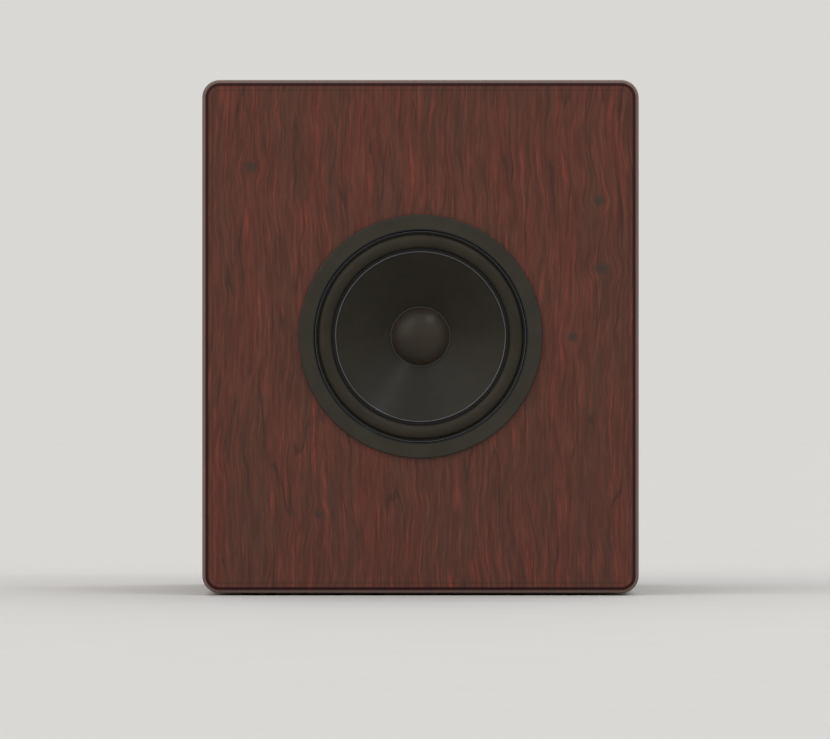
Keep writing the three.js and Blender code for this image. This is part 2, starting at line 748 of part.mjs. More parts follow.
// Two phono sockets in one moulding.
function inputJacks() {
  const { width, height, flange, step, barrelR, barrel, boreR, body } = JACK;
  const face = OUTSIDE + flange;
  const sides = [-JACKS.pitch / 2, JACKS.pitch / 2];
  return cut(
    join(
      block(width, height, OUTSIDE, face),
      block(width - step, height - step, INSIDE - body, OUTSIDE + 1),
      ...sides.map((x) => rod(barrelR, face - 1, face + barrel, 16).translate(x, 0, 0)),
    ),
    ...sides.map((x) => rod(boreR, face, face + barrel + 1, 8).translate(x, 0, 0)),
  );
}

function statusLed() {
  const { radius, proud, depth } = LED;
  const foot = INSIDE - depth;
  const tip = OUTSIDE + proud;
  return turned([[0, foot], [radius, foot], [radius, tip - 2], [0.7 * radius, tip - 0.6], [0, tip]], 12);
}

// An appliance inlet: a pin socket with two cut corners above, the fuse drawer's slot below.
function mainsInlet() {
  const { width, height, front } = INLET;
  const flange = INLET_FLANGE;
  const face = OUTSIDE + flange.proud;
  const w = SOCKET.width / 2;
  const h = SOCKET.height / 2;
  const c = SOCKET.chamfer;
  const mouth = polygon([[-w, -h], [w, -h], [w, h - c], [w - c, h], [c - w, h], [-w, h - c]]);
  const well = pushed(mouth, SOCKET.floor, face + 1).translate(0, 0, SOCKET.z);
  const slot = block(DRAWER.width + 0.6, DRAWER.height + 0.6, DRAWER.front - CLEAR, face + 1);
  const pins = PINS.spots.map(([x, z]) => {
    const pin = block(PINS.width, PINS.height, SOCKET.floor - 1, SOCKET.floor + PINS.length);
    return pin.translate(x, 0, SOCKET.z + z);
  });
  const rim = block(flange.width, flange.height, OUTSIDE, face);
  const body = join(rim, block(width, height, front, OUTSIDE + 1));
  return join(cut(body, well, slot.translate(0, 0, DRAWER.z)), ...pins);
}

// The drawer carries one glass fuse crosswise in an open tray.
function fuseDrawer() {
  const { width, height, front, lip } = DRAWER;
  const { floor, depth, wall } = FUSE_BED;
  const face = OUTSIDE + INLET_FLANGE.proud + CLEAR;
  const halfBed = width / 2 - wall;
  const sill = FUSE.z - FUSE.radius - CLEAR;
  const tray = block(width, height, front, face + 0.5);
  const handle = block(width + 2, height + 2, face, face + lip);
  const bed = box(-halfBed, halfBed, front + floor, front + floor + depth, sill, height);
  return cut(join(tray, handle), bed);
}

function fuse() {
  const glass = new THREE.CylinderGeometry(FUSE.radius, FUSE.radius, FUSE.length, 12);
  const middle = DRAWER.front + FUSE_BED.floor + FUSE_BED.depth / 2;
  return glass.rotateZ(Math.PI / 2).translate(0, middle, FUSE.z);
}

function rockerBezel() {
  const { width, height, proud, bodyWidth, bodyHeight, bodyFront } = BEZEL;
  const rim = block(width, height, OUTSIDE, OUTSIDE + proud);
  return cut(
    join(rim, block(bodyWidth, bodyHeight, bodyFront, OUTSIDE + 1)),
    block(ROCKER_WELL.width, ROCKER_WELL.height, ROCKER_WELL.floor, OUTSIDE + proud + 1),
  );
}

// The rocker's own frame: its pivot is the X axis, +Y points out of the plate.
function rocker() {
  const { foot, end, waist, halfHeight } = PADDLE;
  const lower = [[-foot, -halfHeight], [end, -halfHeight]];
  const upper = [[end, halfHeight], [-foot, halfHeight]];
  const outline = polygon([...lower, [waist, 0], ...upper]);
  const width = ROCKER_WELL.width - 0.8;
  const bar = new THREE.ExtrudeGeometry(outline, { depth: width, bevelEnabled: false });
  const swap = new THREE.Matrix4().set(0, 0, 1, -width / 2, 1, 0, 0, 0, 0, 1, 0, 0, 0, 0, 0, 1);
  return bar.applyMatrix4(swap);
}

function addControl(amp, name, spot) {
  const control = groupAt(amp, spot.x, 0, spot.z);
  add(control, `${name}_pot`, potentiometer(), PLATED_STEEL);
  add(control, `${name}_shaft`, controlShaft(), PLATED_STEEL);
  add(control, `${name}_knob`, knob(), MOULDED);
}

function addSlideSwitch(amp, name, spot) {
  const slide = groupAt(amp, spot.x, 0, spot.z);
  add(slide, `${name}_switch_body`, switchBody(spot.slot), PLATED_STEEL);
  add(slide, `${name}_lever`, lever(), MOULDED, [spot.rest, 0, 0]);
}

function buildAmplifier(parent) {
  const amp = groupAt(parent, 0, 0, AMP_Z);
  add(amp, "amp_plate", ampPlate(), ANODISED);
  add(amp, "amp_gasket", ampGasket(), FOAM);
  add(amp, "heat_sink", heatSink(), ANODISED, [SINK.x, 0, SINK.z]);
  add(amp, "circuit_board", circuitBoard(), BOARD_GREEN);
  for (const [side, x] of Object.entries(CAPACITOR.spots)) {
    add(amp, `capacitor_${side}`, capacitor(), MOULDED, [x, 0, CAPACITOR.z]);
  }
  add(amp, "input_jacks", inputJacks(), MOULDED, [JACKS.x, 0, JACKS.z]);
  add(amp, "status_led", statusLed(), GREEN_LED, [LED.x, 0, LED.z]);
  addControl(amp, "volume", VOLUME);
  addControl(amp, "crossover", CROSSOVER);
  addSlideSwitch(amp, "phase", PHASE);
  addSlideSwitch(amp, "auto", AUTO);
  const inlet = groupAt(amp, INLET.x, 0, INLET.z);
  add(inlet, "mains_inlet", mainsInlet(), MOULDED);
  add(inlet, "fuse_drawer", fuseDrawer(), MOULDED, [0, 0, DRAWER.z]);
  add(inlet, "mains_fuse", fuse(), CLEAR_GLASS, [0, 0, DRAWER.z]);
  add(amp, "rocker_bezel", rockerBezel(), MOULDED, [ROCKER.x, 0, ROCKER.z]);
  const rockerMesh = add(amp, "power_rocker", rocker(), MOULDED, [ROCKER.x, ROCKER_WELL.pivotY, ROCKER.z]);
  rockerMesh.rotation.x = -ROCKER.tilt * DEG;
  add(parent, "transformer", transformer(), COPPER, [TOROID.x, TOROID.y, FLOOR]);
}

// ---------------------------------------------------------------- the whole object

const FRONT_MOST = ROLL.y - (ROLL.outerR - ROLL.innerR) / 2 - ROLL.thickness / 2;
const REAR_MOST = OUTSIDE + SINK.proud;

const group = new THREE.Group();
const cabinet = groupAt(group, 0, -(FRONT_MOST + REAR_MOST) / 2, 0);
buildCabinet(cabinet);
buildDriver(cabinet);
buildAmplifier(cabinet);

export default group;
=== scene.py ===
import math

import bmesh
import bpy
import numpy as np
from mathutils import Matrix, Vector


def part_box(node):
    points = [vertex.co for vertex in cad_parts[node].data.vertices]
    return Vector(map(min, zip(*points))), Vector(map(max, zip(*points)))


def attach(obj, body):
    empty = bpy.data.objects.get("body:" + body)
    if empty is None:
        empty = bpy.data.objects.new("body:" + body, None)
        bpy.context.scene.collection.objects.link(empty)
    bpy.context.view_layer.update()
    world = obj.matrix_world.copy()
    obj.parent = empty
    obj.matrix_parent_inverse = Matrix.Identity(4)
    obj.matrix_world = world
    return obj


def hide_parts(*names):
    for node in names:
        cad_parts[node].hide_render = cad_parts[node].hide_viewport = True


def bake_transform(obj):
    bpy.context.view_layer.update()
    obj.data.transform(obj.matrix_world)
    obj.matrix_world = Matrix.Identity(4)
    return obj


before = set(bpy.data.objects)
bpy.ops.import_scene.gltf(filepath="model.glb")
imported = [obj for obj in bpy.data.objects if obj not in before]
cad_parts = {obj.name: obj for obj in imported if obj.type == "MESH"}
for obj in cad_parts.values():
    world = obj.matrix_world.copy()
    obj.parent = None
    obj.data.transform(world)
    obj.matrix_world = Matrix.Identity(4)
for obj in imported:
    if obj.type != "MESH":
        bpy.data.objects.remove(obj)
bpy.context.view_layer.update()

MM = 0.001
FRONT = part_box("front_baffle")[0].y
ROUND = 144
CABINET = "cabinet"
CONE_BODY = "cone_assembly"


def local_box(node):
    """A CAD node's lowest and highest corners in millimetres, in the frame that shapes are drawn in."""
    return tuple((corner - Vector((0, FRONT, 0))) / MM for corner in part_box(node))


def middle(node):
    """The x and z of a CAD node's middle, in millimetres."""
    lo, hi = local_box(node)
    return (lo.x + hi.x) / 2, (lo.z + hi.z) / 2


# -------------------- sizes

BOX_LO, BOX_HI = local_box("front_baffle")
HALF_WIDTH = BOX_HI.x
BOTTOM, TOP = BOX_LO.z, BOX_HI.z
BAFFLE_BACK = BOX_HI.y
BACK = local_box("top_panel")[1].y
BOARD = TOP - local_box("top_panel")[0].z
CORNER_R, ROUNDOVER, SEAM = 16, 5, 0.35
EASED_ENDS = [(BAFFLE_BACK, SEAM), (BAFFLE_BACK + SEAM, 0), (BACK - SEAM, 0), (BACK, SEAM)]
FEET = ["foot_front_left", "foot_front_right", "foot_rear_left", "foot_rear_right"]

DRIVER = middle("trim_ring")
REBATE_R, REBATE_DEPTH, THROAT_R = 104.5, 7, 93
CONE_RIM, CONE_NECK, CONE_FRONT, CONE_DEPTH = 76.5, 20, 2, 36
ROLL_INNER, ROLL_OUTER, ROLL_HEIGHT = 80.8, 93.4, 5.25
SPIDER_LEDGE = 46.5
BASKET_FRONT = 1.5
DRIVER_SCREWS = [middle(f"driver_screw_{i}") for i in (1, 2, 3, 4)]
TERMINAL_FRONT, TERMINAL_BACK, LEAD_GAP = 47, 57, 0.3

PORT = middle("port_flare")
PLATE_LO, PLATE_HI = local_box("amp_plate")
PLATE_FACE = PLATE_HI.y
PLATE_FOOT = PLATE_FACE - 3
PRINT = (PLATE_FACE - 0.02, PLATE_FACE + 0.1)
AMP = middle("amp_plate")
SLOTS = {"phase": 9, "auto": 10.4}
SLOT_HEIGHT = 4.2
CONTROLS = ("volume", "crossover")
BUSH_R, LED_R = 3.5, 2.5
# Each moulding's flange on the plate and its body behind it: width, height and corner radius
MOULDINGS = {
    "input_jacks": ((44, 18, 2.2), (40, 14, 1)),
    "mains_inlet": ((34, 52, 2.5), (27, 45, 1)),
    "rocker_bezel": ((15, 21, 1.4), (13, 19, 0.6)),
}
TOROID = (60, 310)
FLOOR_RADIUS = 14.0

# -------------------- shapes


def filleted(corners, steps=5):
    """A closed outline from (u, v) or (u, v, radius) corners, the latter rounded with an arc."""
    outline = []
    neighbours = zip(corners[-1:] + corners[:-1], corners, corners[1:] + corners[:1])
    for before, corner, after in neighbours:
        here = Vector(corner[:2])
        if len(corner) < 3:
            outline.append(tuple(here))
            continue
        back, ahead = Vector(before[:2]) - here, Vector(after[:2]) - here
        half = back.angle(ahead) / 2
        edges = ((before, back), (after, ahead))
        room = [(0.98 if len(other) < 3 else 0.49) * edge.length for other, edge in edges]
        reach = min(corner[2] / math.tan(half), *room)
        towards = (back.normalized() + ahead.normalized()).normalized()
        centre = here + towards * (reach / math.cos(half))
        start = here + back.normalized() * reach - centre
        end = here + ahead.normalized() * reach - centre
        sweep = start.angle(end)
        for part in np.linspace(0, 1, steps + 1):
            arm = start * math.sin((1 - part) * sweep) + end * math.sin(part * sweep)
            outline.append(tuple(centre + arm / math.sin(sweep)))
    return outline


def band(inner, outer, y0, y1, radii=(0, 0, 0, 0), steps=5):
    """A ring's profile. The radii of its corners start at (inner, y0) and go on to (outer, y0)."""
    corners = [(inner, y0), (outer, y0), (outer, y1), (inner, y1)]
    return filleted([(*at, radius) if radius else at for at, radius in zip(corners, radii)], steps)


def arc(centre, radii, start, end, count):
    """Points along an ellipse's arc from one angle to another, both in degrees."""
    turns = np.linspace(math.radians(start), math.radians(end), count)
    return [(centre[0] + radii[0] * math.cos(turn), centre[1] + radii[1] * math.sin(turn)) for turn in turns]


def rounded_rectangle(width, height, radius, centre=(0, 0), steps=8):
    """An outline in x and z, starting below its right-hand lower corner."""
    x, z = width / 2, height / 2
    corners = [(x, -z, radius), (x, z, radius), (-x, z, radius), (-x, -z, radius)]
    return [(u + centre[0], v + centre[1]) for u, v in filleted(corners, steps)]


def skin(rings, closed=False):
    """Points and faces over rings with equal numbers of points, its ends filled or joined up."""
    count = len(rings[0])
    points = [point for ring in rings for point in ring]
    faces = []
    for k in range(len(rings) if closed else len(rings) - 1):
        here, there = k * count, (k + 1) % len(rings) * count
        steps = [(i, (i + 1) % count) for i in range(count)]
        faces += [[here + i, here + j, there + j, there + i] for i, j in steps]
    if not closed:
        faces += [list(range(count)), list(range(len(points) - count, len(points)))]
    return points, faces


def lathe(profile, centre, segments=ROUND, radius_at=None):
    """Points and faces of a closed profile of (radius, y) turned about Y through centre (x, z)."""
    points, faces, rings = [], [], []
    for radius, y in profile:
        start = len(points)
        if radius < 1e-6:
            points.append((centre[0], y, centre[1]))
        else:
            for step in range(segments):
                turn = 2 * math.pi * step / segments
                reach = radius_at(radius, y, turn) if radius_at else radius
                points.append((centre[0] + reach * math.cos(turn), y, centre[1] + reach * math.sin(turn)))
        rings.append(list(range(start, len(points))))
    for here, there in zip(rings, rings[1:] + rings[:1]):
        if len(here) == 1 and len(there) == 1:
            continue
        for i in range(segments):
            j = (i + 1) % segments
            loop = [here[i % len(here)], here[j % len(here)], there[j % len(there)], there[i % len(there)]]
            faces.append(list(dict.fromkeys(loop)))
    return points, faces


def prism(outline, y0, y1):
    """Points and faces of an outline in x and z pushed along Y."""
    return skin([[(x, y, z) for x, z in outline] for y in (y0, y1)])


def slab(centre, width, height, radius, y0, y1, steps=3):
    """A rounded rectangle pushed along Y."""
    return prism(rounded_rectangle(width, height, radius, centre, steps), y0, y1)


def bar(centre, width, height, y0, y1):
    """A square-cornered rectangle pushed along Y."""
    x, z = width / 2, height / 2
    corners = [(-x, -z), (x, -z), (x, z), (-x, z)]
    return prism([(centre[0] + u, centre[1] + v) for u, v in corners], y0, y1)


def box_shape(node):
    """A CAD node's own box."""
    lo, hi = local_box(node)
    return bar(middle(node), hi.x - lo.x, hi.z - lo.z, lo.y, hi.y)


def upright_lathe(profile, node, z=0.0, segments=64, radius_at=None):
    """A profile of (radius, height above z) turned about the upright axis of a CAD node."""
    lo, hi = local_box(node)
    points, faces = lathe(profile, (0, 0), segments, radius_at)
    return [((lo.x + hi.x) / 2 + u, (lo.y + hi.y) / 2 - w, z + v) for u, v, w in points], faces


def joined(*shapes):
    points, faces = [], []
    for more_points, more_faces in shapes:
        start = len(points)
        points += more_points
        faces += [[start + i for i in face] for face in more_faces]
    return points, faces


def smooth_path(knots, per_span=8):
    """Points along a centripetal Catmull-Rom curve through the knots."""
    knots = [np.array(knot, float) for knot in knots]
    ends = [2 * knots[0] - knots[1], *knots, 2 * knots[-1] - knots[-2]]
    path = []
    for a, b, c, d in zip(ends, ends[1:], ends[2:], ends[3:]):
        t0 = 0
        t1 = t0 + math.sqrt(np.linalg.norm(b - a))
        t2 = t1 + math.sqrt(np.linalg.norm(c - b))
        t3 = t2 + math.sqrt(np.linalg.norm(d - c))
        for t in np.linspace(t1, t2, per_span, endpoint=False):
            ab = ((t1 - t) * a + (t - t0) * b) / (t1 - t0)
            bc = ((t2 - t) * b + (t - t1) * c) / (t2 - t1)
            cd = ((t3 - t) * c + (t - t2) * d) / (t3 - t2)
            abc = ((t2 - t) * ab + (t - t0) * bc) / (t2 - t0)
            bcd = ((t3 - t) * bc + (t - t1) * cd) / (t3 - t1)
            path.append(((t2 - t) * abc + (t - t1) * bcd) / (t2 - t1))
    return [*path, knots[-1]]


def tube(knots, radius, sides=16, lobes=0, twist=0.0):
    """A tube along a smooth curve. Lobes and twist (turns per mm) give it the relief of a braid."""
    path = smooth_path(knots)
    rings = []
    side = np.array([1.0, 0, 0])
    along = 0.0
    for i, here in enumerate(path):
        after = path[min(i + 1, len(path) - 1)]
        ahead = after - path[max(i - 1, 0)]
        ahead /= np.linalg.norm(ahead)
        side -= ahead * (side @ ahead)
        side /= np.linalg.norm(side)
        up = np.cross(ahead, side)
        ring = []
        for turn in np.linspace(0, 2 * math.pi, sides, endpoint=False):
            relief = 1 - 0.12 * abs(math.sin(lobes * turn / 2 + math.pi * twist * along)) if lobes else 1
            ring.append(tuple(here + radius * relief * (math.cos(turn) * side + math.sin(turn) * up)))
        rings.append(ring)
        along += np.linalg.norm(after - here)
    return skin(rings)


# -------------------- pieces


def raw_object(name, shape, bevel=0.0, bevel_steps=2):
    """An object from a shape in millimetres. Its edges sharper than 40 degrees may be bevelled."""
    points, faces = shape
    mesh = bpy.data.meshes.new(name)
    placed = np.array(points, float) * MM + np.array([0, FRONT, 0])
    mesh.from_pydata(placed.tolist(), [], faces)
    work = bmesh.new()
    work.from_mesh(mesh)
    bmesh.ops.recalc_face_normals(work, faces=work.faces)
    if bevel:
        sharp = [edge for edge in work.edges if edge.calc_face_angle(0) > math.radians(40)]
        bmesh.ops.bevel(
            work, geom=sharp, offset=bevel * MM, segments=bevel_steps, profile=0.5,
            affect="EDGES", clamp_overlap=True,
        )
    work.to_mesh(mesh)
    work.free()
    return placed_object(name, mesh)


def placed_object(name, data):
    made = bpy.data.objects.new(name, data)
    bpy.context.scene.collection.objects.link(made)
    return made


def carve(target, *tools, keep=False):
    """Cuts shapes out of an object's mesh, or joins them to it with keep."""
    for tool in tools:
        cutter = raw_object("cutter", tool)
        modifier = target.modifiers.new("carve", "BOOLEAN")
        modifier.operation = "UNION" if keep else "DIFFERENCE"
        modifier.solver = "EXACT"
        modifier.object = cutter
        bpy.context.view_layer.update()
        evaluated = target.evaluated_get(bpy.context.evaluated_depsgraph_get())
        cut = bpy.data.meshes.new_from_object(evaluated)
        target.modifiers.clear()
        target.data = cut
        bpy.data.objects.remove(cutter)


def dress(made, material, stands_for=None, body=CABINET, sharp=32):
    """Gives an object its shading, its material in a slot and its body, and hides the CAD node that it
    stands for.
    """
    made.data.shade_smooth()
    made.data.set_sharp_from_angle(angle=math.radians(sharp))
    weighted = made.modifiers.new("flat_faces", "WEIGHTED_NORMAL")
    weighted.keep_sharp = True
    made.data.materials.clear()
    made.data.materials.append(MATERIALS[material])
    if body:
        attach(made, body)
    if stands_for:
        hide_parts(stands_for)


def piece(name, shape, material, stands_for=None, body=CABINET, bevel=0.0, adds=(), cuts=(),
          sharp=32):
    """A finished object, made of a shape with others added to it and then cut out of it."""
    made = raw_object(name, shape, bevel)
    carve(made, *adds, keep=True)
    carve(made, *cuts)
    dress(made, material, stands_for, body, sharp)


def repaint(name, slot, bevel):
    """Keeps a CAD node's shape, softens its edges and gives it its material."""
    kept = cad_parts[name]
    kept.data.materials.clear()
    kept.data.materials.append(MATERIALS[slot])
    weld = kept.modifiers.new("weld", "WELD")
    weld.merge_threshold = 0.01 * MM
    soften = kept.modifiers.new("soften", "BEVEL")
    soften.width = bevel * MM
    soften.segments = 2
    soften.limit_method = "ANGLE"
    soften.angle_limit = math.radians(40)
    soften.harden_normals = True


# -------------------- shader tools

MATERIALS = {}


class Nodes:
    """Adds shader nodes to a tree. Most methods give the socket that their nodes end in."""

    def __init__(self, tree):
        self.tree = tree

    def feed(self, socket, value):
        """Links an input to a socket, or sets it to a value."""
        if isinstance(value, bpy.types.NodeSocket):
            self.tree.links.new(value, socket)
        else:
            socket.default_value = (*value, 1) if socket.type == "RGBA" else value

    def node(self, kind, inputs=None, **settings):
        made = self.tree.nodes.new(f"ShaderNode{kind}")
        for key, value in settings.items():
            setattr(made, key, value)
        for key, value in (inputs or {}).items():
            self.feed(made.inputs[key], value)
        return made

    def coordinates(self, kind="Object"):
        return self.node("TexCoord").outputs[kind]

    def place(self, scale=(1, 1, 1), shift=(0, 0, 0), where=None):
        """Object coordinates or others, scaled along each axis."""
        inputs = {"Vector": where or self.coordinates(), "Scale": scale, "Location": shift}
        return self.node("Mapping", inputs).outputs["Vector"]

    def noise(self, scale, detail=3.0, roughness=0.5, where=None, output="Fac"):
        inputs = {"Vector": where or self.place(), "Scale": scale, "Detail": detail, "Roughness": roughness}
        return self.node("TexNoise", inputs).outputs[output]

    def remap(self, value, low, high, to_low=0.0, to_high=1.0, **settings):
        inputs = {"Value": value, "From Min": low, "From Max": high, "To Min": to_low, "To Max": to_high}
        return self.node("MapRange", inputs, **settings).outputs["Result"]

    def axes(self, vector):
        return self.node("SeparateXYZ", {"Vector": vector}).outputs

    def maths(self, operation, *values):
        return self.node("Math", dict(enumerate(values)), operation=operation).outputs[0]

    def times(self, first, second):
        return self.maths("MULTIPLY", first, second)

    def less(self, first, second):
        return self.maths("SUBTRACT", first, second)

    def absolute(self, value):
        return self.maths("ABSOLUTE", value)

    def wave(self, value, factor):
        return self.maths("SINE", self.times(value, factor))

    def vector(self, operation, *values):
        made = self.node("VectorMath", dict(enumerate(values)), operation=operation)
        return made.outputs["Value" if operation == "LENGTH" else "Vector"]

    def mix(self, factor, first, second):
        """One colour into another by a factor."""
        return self.node("Mix", {0: factor, 6: first, 7: second}, data_type="RGBA").outputs[2]

    def blotched(self, dark, light, scale, detail=3, roughness=0.5):
        """A colour that wanders between two."""
        return self.mix(self.remap(self.noise(scale, detail, roughness), 0.35, 0.65), dark, light)

    def axis_radius(self, centre):
        """The distance from the Y axis through centre (x, z), in millimetres."""
        return self.vector("LENGTH", self.place((1 / MM, 0, 1 / MM), (-centre[0], 0, -centre[1])))


class Surface(Nodes):
    """A new material, kept in MATERIALS: its Principled shader and the nodes before it."""

    def __init__(self, name, **sockets):
        material = MATERIALS[name] = bpy.data.materials.new(name)
        material.use_nodes = True
        super().__init__(material.node_tree)
        self.shader = self.tree.nodes["Principled BSDF"]
        self.set(**sockets)

    def set(self, **sockets):
        """Feeds the shader's sockets, named with underscores for spaces."""
        for key, value in sockets.items():
            self.feed(self.shader.inputs[key.replace("_", " ")], value)

    def rough(self, value, low, high):
        """Roughness that runs from low to high with a 0 to 1 value."""
        self.set(Roughness=self.remap(value, 0.3, 0.7, low, high))

    def bump(self, height, distance, strength=1.0):
        """Relief, as high as a distance in millimetres."""
        inputs = {"Height": height, "Distance": distance * MM, "Strength": strength}
        self.set(Normal=self.node("Bump", inputs).outputs["Normal"])

    def turned_rings(self, radius, pitch):
        """A wave with its crests a pitch apart along a radius, both in millimetres."""
        return self.wave(radius, 2 * math.pi / pitch)


# -------------------- materials

VENEER_TONES = {
    "shadow": (0.070, 0.0225, 0.0145),
    "body": (0.136, 0.0430, 0.0300),
    "grey": (0.084, 0.0380, 0.0260),
    "rust": (0.145, 0.0350, 0.0250),
    "flame": (0.290, 0.0580, 0.0440),
    "pore": (0.030, 0.0190, 0.0130),
    "knot": (0.044, 0.0310, 0.0250),
    # Painted light on the front's roundover: the first of these two tones is a dark painted shade line, the
    # second a pale painted highlight.
    "painted_edge_shade": (0.018, 0.0022, 0.0020),
    "painted_edge_highlight": (0.175, 0.1350, 0.1180),
}

# Knots in the front veneer: x and z in millimetres from the cabinet's middle and the floor, half width
# and half height.
KNOTS = [
    (165, 298, 7.0, 4.6),
    (163, 360, 4.6, 3.4),
    (139, 236, 4.0, 3.6),
    (-155, 391, 5.2, 4.0),
    (-92, 74, 3.2, 2.8),
]

# Where the painted shade lines lie, inwards from the outline of the cabinet's front, in millimetres
EDGE_SHADE_LINE, INNER_SHADE_LINE = 4.4, 9.5


def knotted(wood, where):
    """Bends the grain round each knot. Gives the bent coordinates and the knots' soft dark middles."""
    dark = None
    for x, z, half_width, half_height in KNOTS:
        arm = wood.vector("SUBTRACT", where, (x * MM, 0, z * MM))
        scale = (1 / (half_width * MM), 0, 1 / (half_height * MM))
        distance = wood.vector("LENGTH", wood.vector("MULTIPLY", arm, scale))
        near = wood.remap(distance, 4.5, 0.0, 0.0, -0.55, interpolation_type="SMOOTHSTEP")
        sideways = wood.vector("MULTIPLY", arm, (1, 0, 0))
        push = wood.node("VectorMath", {0: sideways, "Scale": near}, operation="SCALE").outputs[0]
        where = wood.vector("ADD", where, push)
        heart = wood.remap(distance, 1.6, 0.6)
        dark = heart if dark is None else wood.maths("MAXIMUM", dark, heart)
    return where, dark


def from_front_edge(wood, where):
    """The distance in millimetres inwards from the outline of the cabinet's front."""
    centred = wood.vector("SUBTRACT", where, (0, 0, (TOP + BOTTOM) / 2 * MM))
    folded = wood.vector("ABSOLUTE", wood.vector("MULTIPLY", centred, (1 / MM, 0, 1 / MM)))
    corner = (HALF_WIDTH - CORNER_R, 0, (TOP - BOTTOM) / 2 - CORNER_R)
    arm = wood.vector("SUBTRACT", folded, corner)
    parts = wood.axes(arm)
    inside = wood.maths("MINIMUM", wood.maths("MAXIMUM", parts["X"], parts["Z"]), 0.0)
    outside = wood.vector("LENGTH", wood.vector("MAXIMUM", arm, (0, 0, 0)))
    return wood.less(CORNER_R, wood.maths("ADD", inside, outside))


def edge_marks(wood, where, edge):
    """Painted light along the front's outline, as each mark's strength and tone: a dark painted shade line
    and a pale painted highlight on the roundover, and a faint painted shade line further in.
    """

    def line(at, low, high, strength):
        nearness = wood.less(1.0, wood.absolute(wood.less(edge, at)))
        return wood.remap(nearness, low, high, 0.0, strength)

    depth = wood.less(wood.axes(where)["Y"], FRONT)
    # Painted highlight: a pale band on the outer part of the roundover, where it would catch the side light.
    painted_highlight = wood.times(wood.remap(edge, 3.2, 2.2), wood.remap(depth, 4.2 * MM, 2.2 * MM))
    return [
        # Painted shade: a dark line on the inner part of the front's roundover.
        (line(EDGE_SHADE_LINE, -0.9, 0.2, 0.95), "painted_edge_shade"),
        (wood.times(painted_highlight, 0.75), "painted_edge_highlight"),
        # Painted shade: a faint dark line, in the pore tone, where the roundover's shading begins.
        (line(INNER_SHADE_LINE, 0.0, 0.6, 0.30), "pore"),
    ]


def veneer(name, across, front=False):
    """Red-brown stained veneer. The pattern is fine along the across axes and long along the rest."""
    wood = Surface(
        name, Coat_Weight=0.30, Coat_Roughness=0.07, Coat_IOR=1.42, Specular_IOR_Level=0.08,
    )
    where = wood.coordinates()
    if front:
        edge = from_front_edge(wood, where)
        where, knots = knotted(wood, where)
    drift = where
    for scale, reach in ((5.0, 0.030), (17.0, 0.009), (60.0, 0.0014)):
        sway = wood.vector("SUBTRACT", wood.noise(scale, 2.0, where=where, output="Color"), (0.5, 0.5, 0.5))
        drift = wood.vector("ADD", drift, wood.vector("MULTIPLY", sway, (reach, reach, 0.0)))

    def grain(fine, long, detail, roughness=0.5):
        scale = tuple(fine if axis in across else long for axis in "xyz")
        return wood.noise(1.0, detail, roughness, wood.place(scale, where=drift))

    bands = wood.remap(grain(60, 7, 3), 0.36, 0.62)
    shades = wood.remap(grain(300, 24, 4, 0.66), 0.38, 0.62)
    flames = wood.remap(grain(270, 19, 3, 0.6), 0.55, 0.72)
    rings = wood.absolute(wood.less(grain(52, 5.5, 2, 0.4), 0.5))
    broken = wood.remap(grain(140, 16, 2), 0.42, 0.58)
    pores = wood.times(wood.remap(rings, 0.020, 0.006), broken)
    fibres = wood.remap(grain(900, 60, 3, 0.65), 0.34, 0.66)
    layers = [
        (wood.times(bands, 0.45), "grey"),
        (wood.times(wood.less(1.0, bands), 0.35), "rust"),
        (wood.times(flames, 0.50), "flame"),
        (wood.times(pores, 0.55), "pore"),
        (wood.times(fibres, 0.30), "pore"),
    ]
    if front:
        # The front also gets knots, and painted shade and painted highlight along its outline.
        layers += [(wood.times(knots, 0.80), "knot"), *edge_marks(wood, where, edge)]
    tone = wood.mix(shades, VENEER_TONES["shadow"], VENEER_TONES["body"])
    for strength, layer in layers:
        tone = wood.mix(strength, tone, VENEER_TONES[layer])
    wood.set(Base_Color=tone)
    wood.rough(shades, 0.46, 0.38)
    wood.bump(wood.maths("ADD", wood.times(pores, -0.8), fibres), 0.02, 0.5)


def textured(name, dark, light, cell, roughness, grain=0.03, tint_scale=25, **sockets):
    """A surface with uneven colour and roughness over a fine grain of cells, cell mm across."""
    made = Surface(name, **sockets)
    made.set(Base_Color=made.blotched(dark, light, tint_scale))
    made.rough(made.noise(3 * tint_scale, 4, 0.6), *roughness)
    made.bump(made.noise(1 / (cell * MM), 2, 0.6), grain)


def winding():
    """Fine copper wire wound about the driver's axis."""
    made = Surface("winding", Metallic=0.9)
    made.set(Base_Color=made.blotched((0.50, 0.17, 0.06), (0.66, 0.26, 0.10), 30, 4))
    made.rough(made.noise(90), 0.25, 0.4)
    made.bump(made.turned_rings(made.axis_radius(DRIVER), 0.4), 0.02)


def brushed(name, dark, light, along, metallic):
    """Dark metal brushed in straight lines along an axis."""
    made = Surface(name, Metallic=metallic)
    lines = made.noise(1.0, 3, 0.6, made.place(tuple(12 if axis == along else 1400 for axis in "xyz")))
    made.set(Base_Color=made.mix(made.times(lines, 0.4), made.blotched(dark, light, 18), light))
    made.rough(lines, 0.34, 0.46)
    made.bump(lines, 0.006)


def spider_cloth():
    """Straw-coloured cloth woven in x and z."""
    cloth = Surface("spider_cloth")
    dark, light, pitch = (0.36, 0.22, 0.055), (0.52, 0.35, 0.11), 0.7
    parts = cloth.axes(cloth.place((1 / (pitch * MM),) * 3))
    weave = cloth.times(*(cloth.wave(parts[axis], math.pi) for axis in ("X", "Z")))
    level = cloth.remap(weave, -1, 1)
    cloth.set(Base_Color=cloth.mix(cloth.times(level, 0.35), cloth.blotched(dark, light, 60), dark))
    cloth.rough(level, 0.75, 0.9)
    cloth.bump(weave, 0.12)


